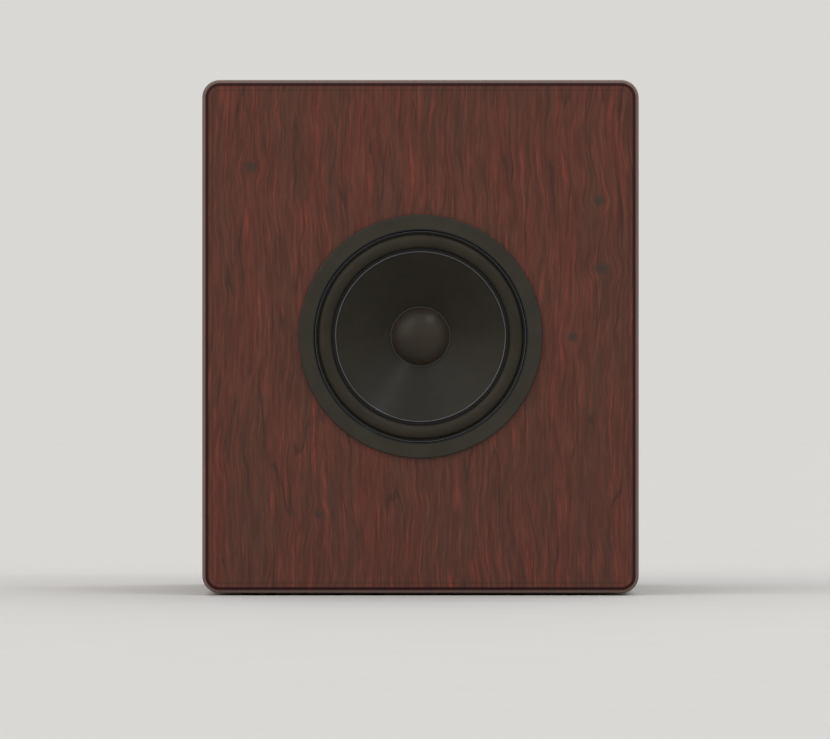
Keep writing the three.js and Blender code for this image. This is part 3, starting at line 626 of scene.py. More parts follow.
def board_green():
    """A printed circuit board: green mask with paler tracks and tinned pads."""
    board = Surface("board_green", Coat_Weight=0.4, Coat_Roughness=0.2)
    where = board.place((1 / (4 * MM),) * 3)
    cells = board.node("TexVoronoi", {"Vector": where, "Scale": 0.6}, distance="MANHATTAN")
    track = board.remap(board.wave(board.axes(where)["X"], 3.1), 0.55, 0.75)
    tracked = board.times(track, board.remap(board.noise(0.35, where=where), 0.45, 0.5))
    pads = board.remap(cells.outputs["Distance"], 0.14, 0.10)
    mask = board.mix(tracked, (0.008, 0.060, 0.026), (0.022, 0.120, 0.055))
    board.set(Base_Color=board.mix(pads, mask, (0.55, 0.55, 0.52)), Metallic=pads)
    board.rough(pads, 0.45, 0.3)
    board.bump(board.maths("ADD", tracked, pads), 0.04)


def transformer_winding():
    """Enamelled wire wound round the toroid, which lies flat, with painted shade in the grooves between its
    turns.
    """
    wire = Surface("transformer_winding", Coat_Weight=0.6, Coat_Roughness=0.18, Metallic=0.75)
    dark, light = (0.16, 0.05, 0.015), (0.52, 0.20, 0.07)
    parts = wire.axes(wire.place((1 / MM,) * 3, (-TOROID[0], -(TOROID[1] + FRONT / MM), 0)))
    turn = wire.maths("ARCTAN2", parts["Y"], parts["X"])
    ridge = wire.absolute(wire.wave(turn, math.pi * 38 / 1.1))
    # Painted shade: the colour darkens in the grooves between the turns.
    tone = wire.mix(wire.remap(ridge, 0.0, 0.6), dark, light)
    wire.set(Base_Color=wire.mix(wire.times(wire.noise(45), 0.4), tone, dark))
    wire.rough(ridge, 0.3, 0.45)
    wire.bump(ridge, 0.25)


def cone_poly():
    """Smoke-grey polypropylene with fine turned rings that stretch its reflections along the radius."""
    made = Surface(
        "cone_poly", Specular_IOR_Level=0.13, Anisotropic=0.75, Coat_Weight=0.06, Coat_Roughness=0.22,
    )
    radius = made.axis_radius(DRIVER)
    rings = made.noise(1.6, 4, 0.7, made.node("CombineXYZ", {"X": radius}).outputs[0])
    tone = made.blotched((0.0155, 0.0130, 0.0086), (0.0200, 0.0170, 0.0115), 70, 5, 0.65)
    lip = made.remap(radius, 75.0, 76.0)
    satin = made.remap(rings, 0.3, 0.7, 0.24, 0.36)
    made.set(
        Base_Color=made.mix(made.times(rings, 0.35), tone, (0.0225, 0.0187, 0.0130)),
        Roughness=made.less(satin, made.times(lip, 0.12)),
        Tangent=made.node("Tangent", direction_type="RADIAL", axis="Y").outputs[0],
    )
    made.bump(made.maths("ADD", made.turned_rings(radius, 0.9), made.times(rings, 3.0)), 0.004)


def roll_rubber():
    """Warm black rubber with a bluish-black painted shade in the creases at either foot of its roll, which
    are also glossier.
    """
    made = Surface("surround_rubber", Specular_IOR_Level=0.22)
    radius = made.axis_radius(DRIVER)
    tone = made.blotched((0.0180, 0.0145, 0.0090), (0.0240, 0.0197, 0.0126), 30, 4)
    # Painted shade: the creases at either foot of the roll turn bluish black; they are also glossier.
    crease_shade_and_gloss = made.remap(made.absolute(made.less(radius, (ROLL_INNER + ROLL_OUTER) / 2)), 5.6, 6.8)
    matt = made.remap(made.noise(90), 0.3, 0.7, 0.44, 0.56)
    made.set(
        Base_Color=made.mix(crease_shade_and_gloss, tone, (0.0022, 0.0026, 0.0040)),
        Roughness=made.less(matt, made.times(crease_shade_and_gloss, 0.32)),
    )
    made.bump(made.turned_rings(radius, 0.55), 0.004)


def ring_satin():
    """Olive-black satin moulding with a glossier inner edge, where a bluish-black painted shade runs along
    the groove.
    """
    made = Surface("ring_satin", Specular_IOR_Level=0.24)
    tone = made.blotched((0.0240, 0.0215, 0.0140), (0.0300, 0.0270, 0.0182), 40)
    # Painted shade: the inner edge darkens to bluish black beside the groove; it is also glossier.
    inner = made.remap(made.axis_radius(DRIVER), 98.6, 97.4)
    satin = made.remap(made.noise(120, 4, 0.6), 0.3, 0.7, 0.40, 0.50)
    made.set(
        Base_Color=made.mix(inner, tone, (0.0030, 0.0040, 0.0075)),
        Roughness=made.less(satin, made.times(inner, 0.28)),
    )
    made.bump(made.noise(1 / (0.3 * MM), 2, 0.6), 0.012)


def swirled(name, dark, light, scale, **sockets):
    """A clear or glowing material with a faint haze in its colour."""
    made = Surface(name, **sockets)
    made.set(Base_Color=made.mix(made.noise(scale), dark, light))


def make_materials():
    black, black_light = (0.0075, 0.0078, 0.0082), (0.0130, 0.0132, 0.0136)
    veneer("veneer_front", "x", front=True)
    veneer("veneer_side", "xy")
    veneer("veneer_cap", "yz")
    textured("black_board", (0.010, 0.010, 0.010), (0.019, 0.019, 0.018), 0.5, (0.6, 0.75), 0.08)
    textured("bare_board", (0.22, 0.14, 0.075), (0.33, 0.22, 0.125), 0.35, (0.8, 0.95), 0.1, 120)
    textured("foot_rubber", (0.012, 0.012, 0.011), (0.022, 0.021, 0.020), 0.3, (0.7, 0.85), 0.04)
    textured("moulded_black", black, black_light, 0.35, (0.42, 0.56), 0.03)
    textured("knob_black", black, black_light, 0.25, (0.34, 0.46), 0.015)
    textured("rocker_black", black, black_light, 0.4, (0.28, 0.38), 0.01)
    ring_satin()
    textured("foam", (0.020, 0.020, 0.021), (0.045, 0.045, 0.046), 0.6, (0.9, 1.0), 0.25, 300)
    textured("frame_paint", (0.012, 0.012, 0.014), (0.024, 0.024, 0.027), 0.6, (0.45, 0.6), 0.06)
    roll_rubber()
    spider_cloth()
    cone_poly()
    textured(
        "cap_gloss", (0.0200, 0.0140, 0.0082), (0.0255, 0.0185, 0.0112), 0.6, (0.28, 0.36), 0.004, 45,
        Specular_IOR_Level=0.30,
    )
    textured("glue", (0.006, 0.006, 0.006), (0.012, 0.012, 0.012), 1.2, (0.2, 0.35), 0.15, 160)
    textured(
        "rim_glue", (0.006, 0.0075, 0.011), (0.010, 0.012, 0.017), 1.2, (0.12, 0.22), 0.05, 160,
        Specular_IOR_Level=0.9, Coat_Weight=0.8, Coat_Roughness=0.08,
    )
    textured("former_film", (0.36, 0.14, 0.02), (0.50, 0.22, 0.04), 0.5, (0.25, 0.4), 0.01)
    winding()
    textured(
        "plated_steel", (0.42, 0.43, 0.44), (0.62, 0.63, 0.63), 0.5, (0.26, 0.42), 0.01, 60, Metallic=1.0,
    )
    textured(
        "black_screw", (0.016, 0.016, 0.017), (0.036, 0.036, 0.038), 0.25, (0.30, 0.42), 0.01, 200,
        Metallic=0.9,
    )
    textured("ferrite", (0.018, 0.017, 0.018), (0.040, 0.038, 0.040), 0.9, (0.6, 0.8), 0.1, 80)
    textured("wire_red", (0.26, 0.013, 0.010), (0.36, 0.025, 0.018), 0.5, (0.38, 0.5), 0.02)
    textured("wire_black", (0.007, 0.007, 0.007), (0.014, 0.014, 0.014), 0.5, (0.4, 0.5), 0.02)
    textured("braid", (0.42, 0.20, 0.08), (0.66, 0.36, 0.16), 0.25, (0.3, 0.45), 0.08, 900, Metallic=0.9)
    brushed("plate_black", (0.011, 0.011, 0.012), (0.024, 0.024, 0.026), "x", 0.55)
    brushed("anodised_fins", (0.012, 0.012, 0.013), (0.026, 0.026, 0.028), "z", 0.6)
    board_green()
    transformer_winding()
    textured(
        "capacitor_sleeve", (0.010, 0.011, 0.016), (0.017, 0.018, 0.025), 0.8, (0.25, 0.35), 0.006, 30,
    )
    swirled(
        "led_lens", (0.10, 0.45, 0.14), (0.18, 0.60, 0.22), 600, Transmission_Weight=0.35, IOR=1.5,
        Roughness=0.12, Emission_Strength=0.35, Emission_Color=(0.10, 0.75, 0.18),
    )
    swirled(
        "fuse_glass", (0.82, 0.86, 0.85), (0.95, 0.97, 0.97), 400, Transmission_Weight=0.92, IOR=1.45,
        Roughness=0.04,
    )
    textured("print_white", (0.50, 0.50, 0.49), (0.62, 0.62, 0.60), 0.3, (0.5, 0.65), 0.01, 400)
    textured("insert_red", (0.32, 0.012, 0.012), (0.42, 0.020, 0.018), 0.3, (0.3, 0.4), 0.008)
    textured("insert_white", (0.60, 0.60, 0.58), (0.72, 0.72, 0.69), 0.3, (0.3, 0.4), 0.008)


make_materials()

# -------------------- cabinet


def outline_at(inset, y, edge_steps=26):
    """The cabinet's outline as a ring of points, drawn in from its outer edge by an inset."""
    width, height = 2 * (HALF_WIDTH - inset), TOP - BOTTOM - 2 * inset
    arcs = rounded_rectangle(width, height, CORNER_R - inset, (0, (TOP + BOTTOM) / 2))
    ring = []
    for here, there in zip(arcs, arcs[1:] + arcs[:1]):
        ring.append(here)
        if math.dist(here, there) > CORNER_R:
            ring += [tuple(Vector(here).lerp(Vector(there), i / edge_steps)) for i in range(1, edge_steps)]
    return [(x, y, z) for x, z in ring]


def make_baffle():
    turns = [math.atan2(z - DRIVER[1], x - DRIVER[0]) for x, _, z in outline_at(0, 0)]

    def circle(radius, y):
        """A circle on the driver's axis with a point in the direction of each point of the outline."""
        x, z = DRIVER
        return [(x + radius * math.cos(turn), y, z + radius * math.sin(turn)) for turn in turns]

    edge = [
        outline_at(ROUNDOVER * (1 - math.sin(turn)), ROUNDOVER * (1 - math.cos(turn)))
        for turn in np.linspace(0, math.pi / 2, 8)
    ]
    rings = [
        circle(REBATE_R, 0),
        outline_at(ROUNDOVER + 0.8, 0),
        *edge,
        outline_at(0, ROUNDOVER + 0.8),
        outline_at(0, BAFFLE_BACK - SEAM),
        outline_at(SEAM, BAFFLE_BACK),
        circle(THROAT_R, BAFFLE_BACK),
        circle(THROAT_R, REBATE_DEPTH),
        circle(REBATE_R, REBATE_DEPTH),
    ]
    piece("baffle_board", skin(rings, closed=True), "veneer_front", "front_baffle")


def capping_board(inner_z, outer_z):
    """A full-width board whose two outer long edges are rounded."""
    x = HALF_WIDTH
    outline = filleted([(x, inner_z), (x, outer_z, CORNER_R), (-x, outer_z, CORNER_R), (-x, inner_z)], 9)
    half = (outer_z - inner_z) / 2
    rings = []
    for y, inset in EASED_ENDS:
        ring = []
        for u, v in outline:
            outwards = max(0.0, (v - inner_z - half) / half)
            ring.append((u * (x - inset) / x, y, v - math.copysign(inset, half) * outwards))
        rings.append(ring)
    return skin(rings)


def make_boards():
    pockets = []
    for name in FEET:
        lo, hi = local_box(name)
        pockets.append(upright_lathe(band(0, (hi.x - lo.x) / 2 + 0.3, -1, hi.z), name))
    piece("top_board", capping_board(TOP - BOARD, TOP), "veneer_cap", "top_panel")
    piece("bottom_board", capping_board(BOTTOM + BOARD, BOTTOM), "veneer_cap", "bottom_panel",
          cuts=pockets)
    for name, side in (("left", -1), ("right", 1)):
        outer, inner = side * HALF_WIDTH, side * (HALF_WIDTH - BOARD)
        eased = [(outer - side * inset, y) for y, inset in EASED_ENDS]
        section = [(inner, BAFFLE_BACK), *eased, (inner, BACK)]
        shape = skin([[(x, y, z) for x, y in section] for z in (BOTTOM + BOARD, TOP - BOARD)])
        piece(f"{name}_board", shape, "veneer_side", f"{name}_side_panel")


def make_feet():
    for name in FEET:
        lo, hi = local_box(name)
        radius, height = (hi.x - lo.x) / 2, hi.z - lo.z
        outline = filleted([(0, 0), (radius - 0.6, 0, 1.2), (radius, height), (0, height)], 6)
        dish = [(0, 0.7), (radius - 5, 0.7), (radius - 4, 0)]
        piece(f"rubber_{name}", upright_lathe(dish + outline[1:], name), "foot_rubber", name)


def make_port():
    hole_r, flange_r, bore_r, wall, proud, sweep = 48, 56, 34, 3, 3.5, 16
    mouth = BACK + proud
    socket_r, socket_y = bore_r + wall + 0.3, mouth - sweep - 2
    quarter = arc((bore_r + sweep, mouth - sweep), (-sweep, sweep), 90, 0, 14)
    outline = filleted([
        (socket_r + 3, socket_y - 8, 0.5), (socket_r + 3, BACK - 18), (hole_r - 1, BACK - 4),
        (hole_r - 1, BACK), (flange_r, BACK), (flange_r, mouth, 2.2), (bore_r + sweep + 0.5, mouth),
    ])
    profile = outline + quarter + [(bore_r, socket_y), (socket_r, socket_y), (socket_r, socket_y - 8)]
    piece("bass_port_flare", lathe(profile, PORT), "moulded_black", "port_flare")
    lo, hi = local_box("port_tube")
    tube_profile = band(bore_r, bore_r + wall, lo.y, hi.y, (1.2, 1.2, 0.4, 0.4))
    piece("bass_port_tube", lathe(tube_profile, PORT), "moulded_black", "port_tube")


def make_cabinet():
    make_baffle()
    make_boards()
    make_feet()
    make_port()
    repaint("rear_panel", "black_board", bevel=0.8)
    repaint("window_brace", "bare_board", bevel=0.8)


# -------------------- driver


def weigh_by_radius(made):
    """Bakes a ring's placement into its mesh."""
    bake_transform(made)


def make_trim_ring():
    lo, hi = local_box("trim_ring")
    face, skirt, inner, step = lo.y, 104.2, 96.5, 98
    profile = filleted([
        (hi.x, face, 1.5), (hi.x, 0, 0.25), (skirt, 0), (skirt, face + 2), (step, face + 2, 0.3),
        (step, hi.y, 0.3), (inner, hi.y, 0.5), (inner, face, 1.2),
    ], 7)
    piece("satin_trim_ring", lathe(profile, DRIVER), "ring_satin", "trim_ring")


def ribbon(midline, thickness):
    """A closed profile of even thickness along a midline of (radius, y)."""
    points = [Vector(point) for point in midline]
    sides = ([], [])
    for i, here in enumerate(points):
        ahead = points[min(i + 1, len(points) - 1)] - points[max(i - 1, 0)]
        across = Vector((ahead.y, -ahead.x)).normalized() * (thickness / 2)
        sides[0].append(tuple(here + across))
        sides[1].append(tuple(here - across))
    return sides[0] + sides[1][::-1]


def bead(radius, y, half_width, half_height):
    """A hand-laid bead of glue round the driver's axis, with a slight waver."""
    steps = 14
    profile = arc((radius, y), (half_width, half_height), 0, 360 - 360 / steps, steps)

    def unevenly(reach, _, turn):
        return reach + 0.07 * math.sin(7 * turn + 0.4) + 0.05 * math.sin(17 * turn)

    return lathe(profile, DRIVER, ROUND, unevenly)


def make_surround():
    y, thickness = 1, 1
    crest, reach = (ROLL_INNER + ROLL_OUTER) / 2, (ROLL_OUTER - ROLL_INNER) / 2
    roll = arc((crest, y), (-reach, -ROLL_HEIGHT), 0, 180, 25)
    flats = [77.8, 79.5, ROLL_INNER - 0.4], [ROLL_OUTER + 0.4, 94.9, 96.2]
    inner_lip, outer_lip = ([(radius, y) for radius in flat] for flat in flats)
    made = raw_object("rubber_surround", lathe(ribbon(inner_lip + roll + outer_lip, thickness), DRIVER))
    dress(made, "surround_rubber", "surround", body=None, sharp=50)
    weigh_by_radius(made)
    for name, radius, body in (("inner", 77.4, CONE_BODY), ("outer", 95.9, CABINET)):
        piece(f"surround_{name}_glue", bead(radius, 0.6, 0.6, 0.5), "rim_glue", body=body)


def make_spider():
    inner, collar, land, outer, wave, waves, thickness = 19.7, 22, 56.5, 69, 1.2, 3, 0.8
    level = SPIDER_LEDGE - thickness / 2
    ripple = [
        (collar + (land - collar) * part, level - wave * math.sin(part * waves * 2 * math.pi))
        for part in np.linspace(0, 1, 12 * waves + 1)
    ]
    midline = [(inner, level), (collar - 0.6, level), *ripple, (land + 3, level), (outer, level)]
    made = raw_object("cloth_spider", lathe(ribbon(midline, thickness * 0.98), DRIVER, 96))
    dress(made, "spider_cloth", "spider", body=None, sharp=60)
    weigh_by_radius(made)


def cone_front(radius):
    return CONE_FRONT + CONE_DEPTH * (1 - (radius - CONE_NECK) / (CONE_RIM - CONE_NECK))


def make_cone():
    wall, lip, lip_front = 1.2, 81.2, 1.5
    slope = [(radius, cone_front(radius)) for radius in np.linspace(CONE_NECK + 4, CONE_RIM - 3, 9)]
    back = [(radius, y + wall) for radius, y in slope]
    rim_y, neck_y = cone_front(CONE_RIM), cone_front(CONE_NECK)
    profile = filleted([
        (lip, lip_front, 0.35), (lip, lip_front + wall, 0.35), (CONE_RIM + 1.5, lip_front + wall, 0.6),
        (CONE_RIM, rim_y + wall, 1.0), *back[::-1], (CONE_NECK, neck_y + wall), (CONE_NECK, neck_y), *slope,
        (CONE_RIM, rim_y, 1.6), (CONE_RIM + 1.6, lip_front, 0.9),
    ])
    piece("poly_cone", lathe(profile, DRIVER), "cone_poly", "cone", CONE_BODY, sharp=50)


def make_dust_cap():
    radius, rise, wall = 26.5, 10, 1
    rim_y = cone_front(radius) - 0.3

    def dome(edge, height):
        return [(edge * part, rim_y - height * (1 - part ** 2)) for part in np.linspace(0, 1, 14)]

    profile = dome(radius, rise) + dome(radius - wall, rise - wall)[::-1]
    piece("domed_dust_cap", lathe(profile, DRIVER), "cap_gloss", "dust_cap", CONE_BODY)
    bead_r, half_width = radius + 0.55, 0.75
    glue = bead(bead_r, cone_front(bead_r) - 0.1, half_width, 0.7 * half_width)
    piece("dust_cap_glue_bead", glue, "glue", body=CONE_BODY)


def make_motor():
    """Former, winding, plates and magnet, all turned about the driver's axis."""
    for name, node_name, material, body, inner, soft in (
        ("coil_former", "voice_coil_former", "former_film", CONE_BODY, 19, 0.0),
        ("front_plate_ring", "top_plate", "plated_steel", CABINET, 21, 1.0),
        ("ferrite_ring", "magnet", "ferrite", CABINET, 30, 1.6),
    ):
        lo, hi = local_box(node_name)
        profile = band(inner, hi.x, lo.y, hi.y, [soft] * 4)
        piece(name, lathe(profile, DRIVER, 96), material, node_name, body)
    lo, hi = local_box("voice_coil")
    inner, turns, relief = 19.5, 32, 0.12
    steps = np.arange(4 * turns + 1)
    bulge = hi.x - relief + relief * np.sin(math.pi * (steps % 4) / 2)
    wire = list(zip(bulge, lo.y + (hi.y - lo.y) * steps / steps[-1]))
    coil = lathe([(inner, lo.y), *wire, (inner, hi.y)], DRIVER, 96)
    piece("copper_winding", coil, "winding", "voice_coil", CONE_BODY, sharp=70)
    lo, hi = local_box("back_plate")
    disc_r, disc_y, vent_r, pole_r = 54, 86, 8, 18.4
    profile = filleted([
        (disc_r, disc_y, 1.0), (disc_r, hi.y, 1.0), (vent_r, hi.y, 1.2), (vent_r, lo.y, 1.2),
        (pole_r, lo.y, 0.8), (pole_r, disc_y, 0.6),
    ])
    piece("yoke_and_pole", lathe(profile, DRIVER, 96), "plated_steel", "back_plate")


def basket_window(degrees):
    """A cutter for one of the openings between the basket's arms."""
    out = Vector((math.cos(math.radians(degrees)), math.sin(math.radians(degrees))))
    side = Vector((-out.y, out.x))
    outline = filleted([(-27, 15, 5), (27, 15, 5), (27, 40, 5), (-27, 40, 5)])
    rings = []
    for reach in (50, 110):
        spots = [(Vector(DRIVER) + out * reach + side * across, y) for across, y in outline]
        rings.append([(spot.x, y, spot.y) for spot, y in spots])
    return skin(rings)


def screw_holes():
    return [lathe(band(0, 2.2, 0, 8), spot, 32) for spot in DRIVER_SCREWS]


def make_basket():
    front, flange, back, step, ledge = BASKET_FRONT, 6, 58, 2.5, SPIDER_LEDGE
    profile = filleted([
        (104, front, 0.6), (104, flange, 0.6), (92, flange, 0.6), (91, flange + 3, 1.5), (73, ledge, 1.5),
        (73, back, 1.2), (44, back, 0.5), (44, back - step, 0.5), (58, back - step, 1.0), (58, ledge, 0.5),
        (70, ledge, 0.5), (88.5, flange + 3, 1.0), (90, front, 0.4),
    ])
    windows = [basket_window(30 + 60 * i) for i in range(6)]
    piece("cast_basket", lathe(profile, DRIVER, 120), "frame_paint", "basket", cuts=windows + screw_holes())


def cross_recess(spot, face, size, depth, out):
    """The slot of a cross-head screw, cut into a head whose face looks along out (-1 is -Y)."""
    y0, y1 = sorted((face - out * depth, face + out))
    thin = 0.26 * size
    return [bar(spot, width, height, y0, y1) for width, height in ((size, thin), (thin, size))]


def screw(name, spot, seat, head, shank_r, length, out, material, stands_for=None):
    """A pan-head screw: its head, (radius, height), sits on seat and looks along out (-1 is -Y, 1 is +Y)."""
    head_r, head_h = head
    dome = arc((0, seat + out * 0.35 * head_h), (head_r, out * 0.65 * head_h), 90, 0, 8)
    threads = []
    pitch = 1.1
    for i in range(int((length - 3) / pitch)):
        y = seat - out * (1.5 + i * pitch)
        threads += [(shank_r, y), (shank_r * 0.78, y - out * pitch / 2)]
    profile = [*dome, (head_r, seat), (shank_r * 0.9, seat), *threads, (0, seat - out * length)]
    recess = cross_recess(spot, seat + out * head_h, 1.15 * head_r, 0.55 * head_h, out)
    piece(name, lathe(profile, spot, 36), material, stands_for, cuts=recess, sharp=38)


def make_driver_hardware():
    lo, hi = local_box("driver_gasket")
    ring = band(94, 103.5, lo.y, hi.y, [0.3] * 4, 3)
    piece("foam_gasket_ring", lathe(ring, DRIVER, 120), "foam", "driver_gasket", cuts=screw_holes())
    for i, spot in enumerate(DRIVER_SCREWS, 1):
        screw(f"basket_screw_{i}", spot, BASKET_FRONT, (2.7, 2.2), 1.5, 18, -1, "plated_steel",
              f"driver_screw_{i}")
    piece("terminal_block", box_shape("driver_terminals"), "moulded_black", "driver_terminals", bevel=0.8)


def from_driver(side, route):
    """A cord's route from points beside the driver's axis, mirrored by side."""
    return [(DRIVER[0] + side * x, y, DRIVER[1] + z) for x, y, z in route]


def make_leads():
    tinsel_route = [
        (7, TERMINAL_FRONT - LEAD_GAP, -79), (7, 41, -78), (6, 36, -68), (5, 39, -46), (4, 42, -32),
        (3.5, 42, -21.2),
    ]
    for side, name in ((-1, "left"), (1, "right")):
        route = from_driver(side, tinsel_route)
        made = raw_object(f"braided_lead_{name}", tube(route, 0.8, 16, lobes=8, twist=0.5))
        dress(made, "braid", f"tinsel_lead_{name}", body=None, sharp=75)
        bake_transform(made)
    speaker_route = [
        (6, TERMINAL_BACK + LEAD_GAP, -78), (6, 68, -80), (7, 86, -100), (8, 114, -132), (8, 140, -149),
        (8, 158, -152.5), (8, 184, -156), (9, 230, -170), (12, 280, -166), (18, 320, -138),
        (26, 344, -104), (28, 353, -78), (28, local_box("circuit_board")[0].y - 1.2, -76),
    ]
    for side, tint in ((-1, "red"), (1, "black")):
        wire = tube(from_driver(side, speaker_route), 1.6)
        piece(f"speaker_wire_{tint}", wire, f"wire_{tint}", f"speaker_lead_{tint}", sharp=60)


def make_driver():
    make_trim_ring()
    make_surround()
    make_spider()
    make_cone()
    make_dust_cap()
    make_motor()
    make_basket()
    make_driver_hardware()
    make_leads()


# -------------------- amplifier


def plate_hole(node_name, radius):
    return lathe(band(0, radius + 0.3, PLATE_FOOT - 2, PLATE_FACE + 2), middle(node_name), 48)


def plate_slot(node_name, width, height, radius=0.8):
    return slab(middle(node_name), width, height, radius, PLATE_FOOT - 2, PLATE_FACE + 2, 4)


def make_plate():
    """The sheet with its openings, and the posts behind it that carry the circuit board."""
    sheet = slab(AMP, PLATE_HI.x - PLATE_LO.x, PLATE_HI.z - PLATE_LO.z, 6, PLATE_FOOT, PLATE_FACE, 8)
    made = raw_object("amplifier_plate", sheet, bevel=0.6, bevel_steps=3)
    carve(made, *(plate_hole(f"{name}_pot", BUSH_R) for name in CONTROLS), plate_hole("status_led", LED_R))
    for name, width in SLOTS.items():
        carve(made, plate_slot(f"{name}_switch_body", width, SLOT_HEIGHT, 0.6))
    carve(made, *(plate_slot(name, body[0] + 1, body[1] + 1) for name, (_, body) in MOULDINGS.items()))
    post_r, post_tip = 3, 361.5
    post = band(0, post_r, post_tip, PLATE_FOOT + 1, (0, 0.4, 0, 0))
    spots = [(AMP[0] + x, AMP[1] + z) for x in (-86, 86) for z in (-4, 102)]
    carve(made, *(lathe(post, spot, 40) for spot in spots), keep=True)
    dress(made, "plate_black", "amp_plate")
    repaint("amp_gasket", "foam", bevel=0.15)


def moulding(name, node_name, bevel, cuts, face=None):
    """A black moulding set into the plate, up to its CAD node's face unless another is given."""
    flange, body = MOULDINGS[node_name]
    spot = middle(node_name)
    lo, hi = local_box(node_name)
    piece(name, slab(spot, *flange, PLATE_FACE, face or hi.y, 5), "moulded_black", node_name, bevel=bevel,
          adds=[slab(spot, *body, lo.y, PLATE_FACE + 1)], cuts=cuts)


def make_outer_screws():
    """The screws of the amplifier's plate and of the port's flare."""
    inset = 9
    x, z = (PLATE_HI.x - PLATE_LO.x) / 2 - inset, (PLATE_HI.z - PLATE_LO.z) / 2 - inset
    spots = [(side * x, row * z) for side in (-1, 1) for row in (-1, -0.34, 0.34, 1)]
    for i, (u, v) in enumerate([*spots, (0, z), (0, -z)], 1):
        screw(f"plate_screw_{i}", (AMP[0] + u, AMP[1] + v), PLATE_FACE, (3.4, 2.2), 1.7, 14, 1,
              "black_screw")
    for i, spot in enumerate(arc(PORT, (52, 52), 45, 315, 4), 1):
        screw(f"flare_screw_{i}", spot, BACK + 3.5, (2.6, 1.5), 1.4, 14, 1, "black_screw")


def make_heat_sink():
    lo, hi = local_box("heat_sink")
    base, fins, fin, draft, flute = 4, 11, 2.4, 0.35, 0.5
    root = lo.y + base
    corners = [(lo.x, lo.y, 0.4), (hi.x, lo.y, 0.4)]
    for left in np.linspace(hi.x - fin, lo.x, fins):
        right = left + fin
        tips = [(right - draft, hi.y, 0.8), (left + draft, hi.y, 0.8)]
        corners += [(right, root, 0.6), *tips, (left, root, 0.6)]
    corners[-1] = (lo.x, root)
    outline = filleted(corners, 4)
    rows = [(lo.z, flute), (lo.z + flute, 0), (hi.z - flute, 0), (hi.z, flute)]
    rings = [[(x, y if y <= lo.y + 1 else y - inset, z) for x, y in outline] for z, inset in rows]
    piece("finned_heat_sink", skin(rings), "anodised_fins", "heat_sink")


def make_knob(name):
    lo, hi = local_box(f"{name}_knob")
    centre, foot, face = middle(f"{name}_knob"), lo.y, hi.y
    skirt, top_r = 12, 11
    bore, bore_end, bushing, bushing_end = 3.1, PLATE_FACE + 12.3, 4.3, PLATE_FACE + 4.5
    profile = filleted([
        (0, bore_end), (bore, bore_end), (bore, bushing_end), (bushing, bushing_end), (bushing, foot, 0.3),
        (skirt, foot, 0.5), (skirt, foot + 3.4, 0.5), (top_r + 0.6, foot + 4.2), (top_r + 0.3, foot + 8),
        (top_r, face - 0.6, 1.2), (8.4, face, 0.8), (7.6, face - 0.4, 0.8), (0, face - 0.4),
    ], 4)

    def fluted(reach, y, turn):
        grip = min(1.0, max(0.0, y - foot - 4.4)) if reach > 9.5 else 0.0
        return reach - grip * 0.42 * (0.5 + 0.5 * math.cos(36 * turn)) ** 0.6

    body = f"{name}_control"
    groove = bar((centre[0], centre[1] + 8.5), 1.4, 9, face - 0.8, face + 1)
    piece(f"fluted_{name}_knob", lathe(profile, centre, 216, fluted), "knob_black", f"{name}_knob", body,
          cuts=[groove], sharp=40)
    line = slab((centre[0], centre[1] + 7.6), 1.2, 6.6, 0.4, face - 0.75, face - 0.25)
    piece(f"{name}_pointer_line", line, "print_white", body=body, bevel=0.08)


def make_control(name):
    centre = middle(f"{name}_pot")
    lo, hi = local_box(f"{name}_pot")
    can_r, bore, back, pitch, groove = 8, 3.1, PLATE_FOOT - 0.3, 1.2, 0.22
    threads = [(BUSH_R, back)]
    for y in back + 1 + pitch * np.arange(5):
        threads += [(BUSH_R, y), (BUSH_R - groove, y + pitch / 2)]
    can = filleted([(can_r, lo.y, 0.6), (can_r, back, 0.3), (BUSH_R, back)])[:-1]
    profile = [(0, lo.y), *can, *threads, (BUSH_R, hi.y), (bore, hi.y), (bore, lo.y + 2), (0, lo.y + 2)]
    piece(f"{name}_potentiometer", lathe(profile, centre, 48), "plated_steel", f"{name}_pot")
    lo, hi = local_box(f"{name}_shaft")
    rod = lathe(band(0, 3, lo.y, hi.y, (0, 0.3, 0.5, 0)), centre, 48)
    piece(f"{name}_spindle", rod, "plated_steel", f"{name}_shaft", f"{name}_control")
    nut = prism(arc(centre, (5.6, 5.6), 0, 300, 6), PLATE_FACE, PLATE_FACE + 1.3)
    nut_bore = lathe(band(0, BUSH_R + 0.05, PLATE_FACE - 1, PLATE_FACE + 4), centre, 48)
    piece(f"{name}_nut", nut, "plated_steel", bevel=0.25, cuts=[nut_bore])
    make_knob(name)


def make_dial_ticks(name):
    """Eleven printed ticks round a knob, with a longer one at each end and at the top."""
    centre = Vector(middle(f"{name}_pot"))
    marks = []
    for i in range(11):
        turn = math.radians(-60 + 30 * i)
        out = Vector((math.cos(turn), math.sin(turn)))
        side = Vector((-out.y, out.x)) * 0.28
        start, end = out * 14.2, out * (17.2 if i % 5 == 0 else 16.0)
        corners = (start - side, end - side, end + side, start + side)
        marks.append(prism([tuple(centre + corner) for corner in corners], *PRINT))
    piece(f"{name}_dial_ticks", joined(*marks), "print_white")


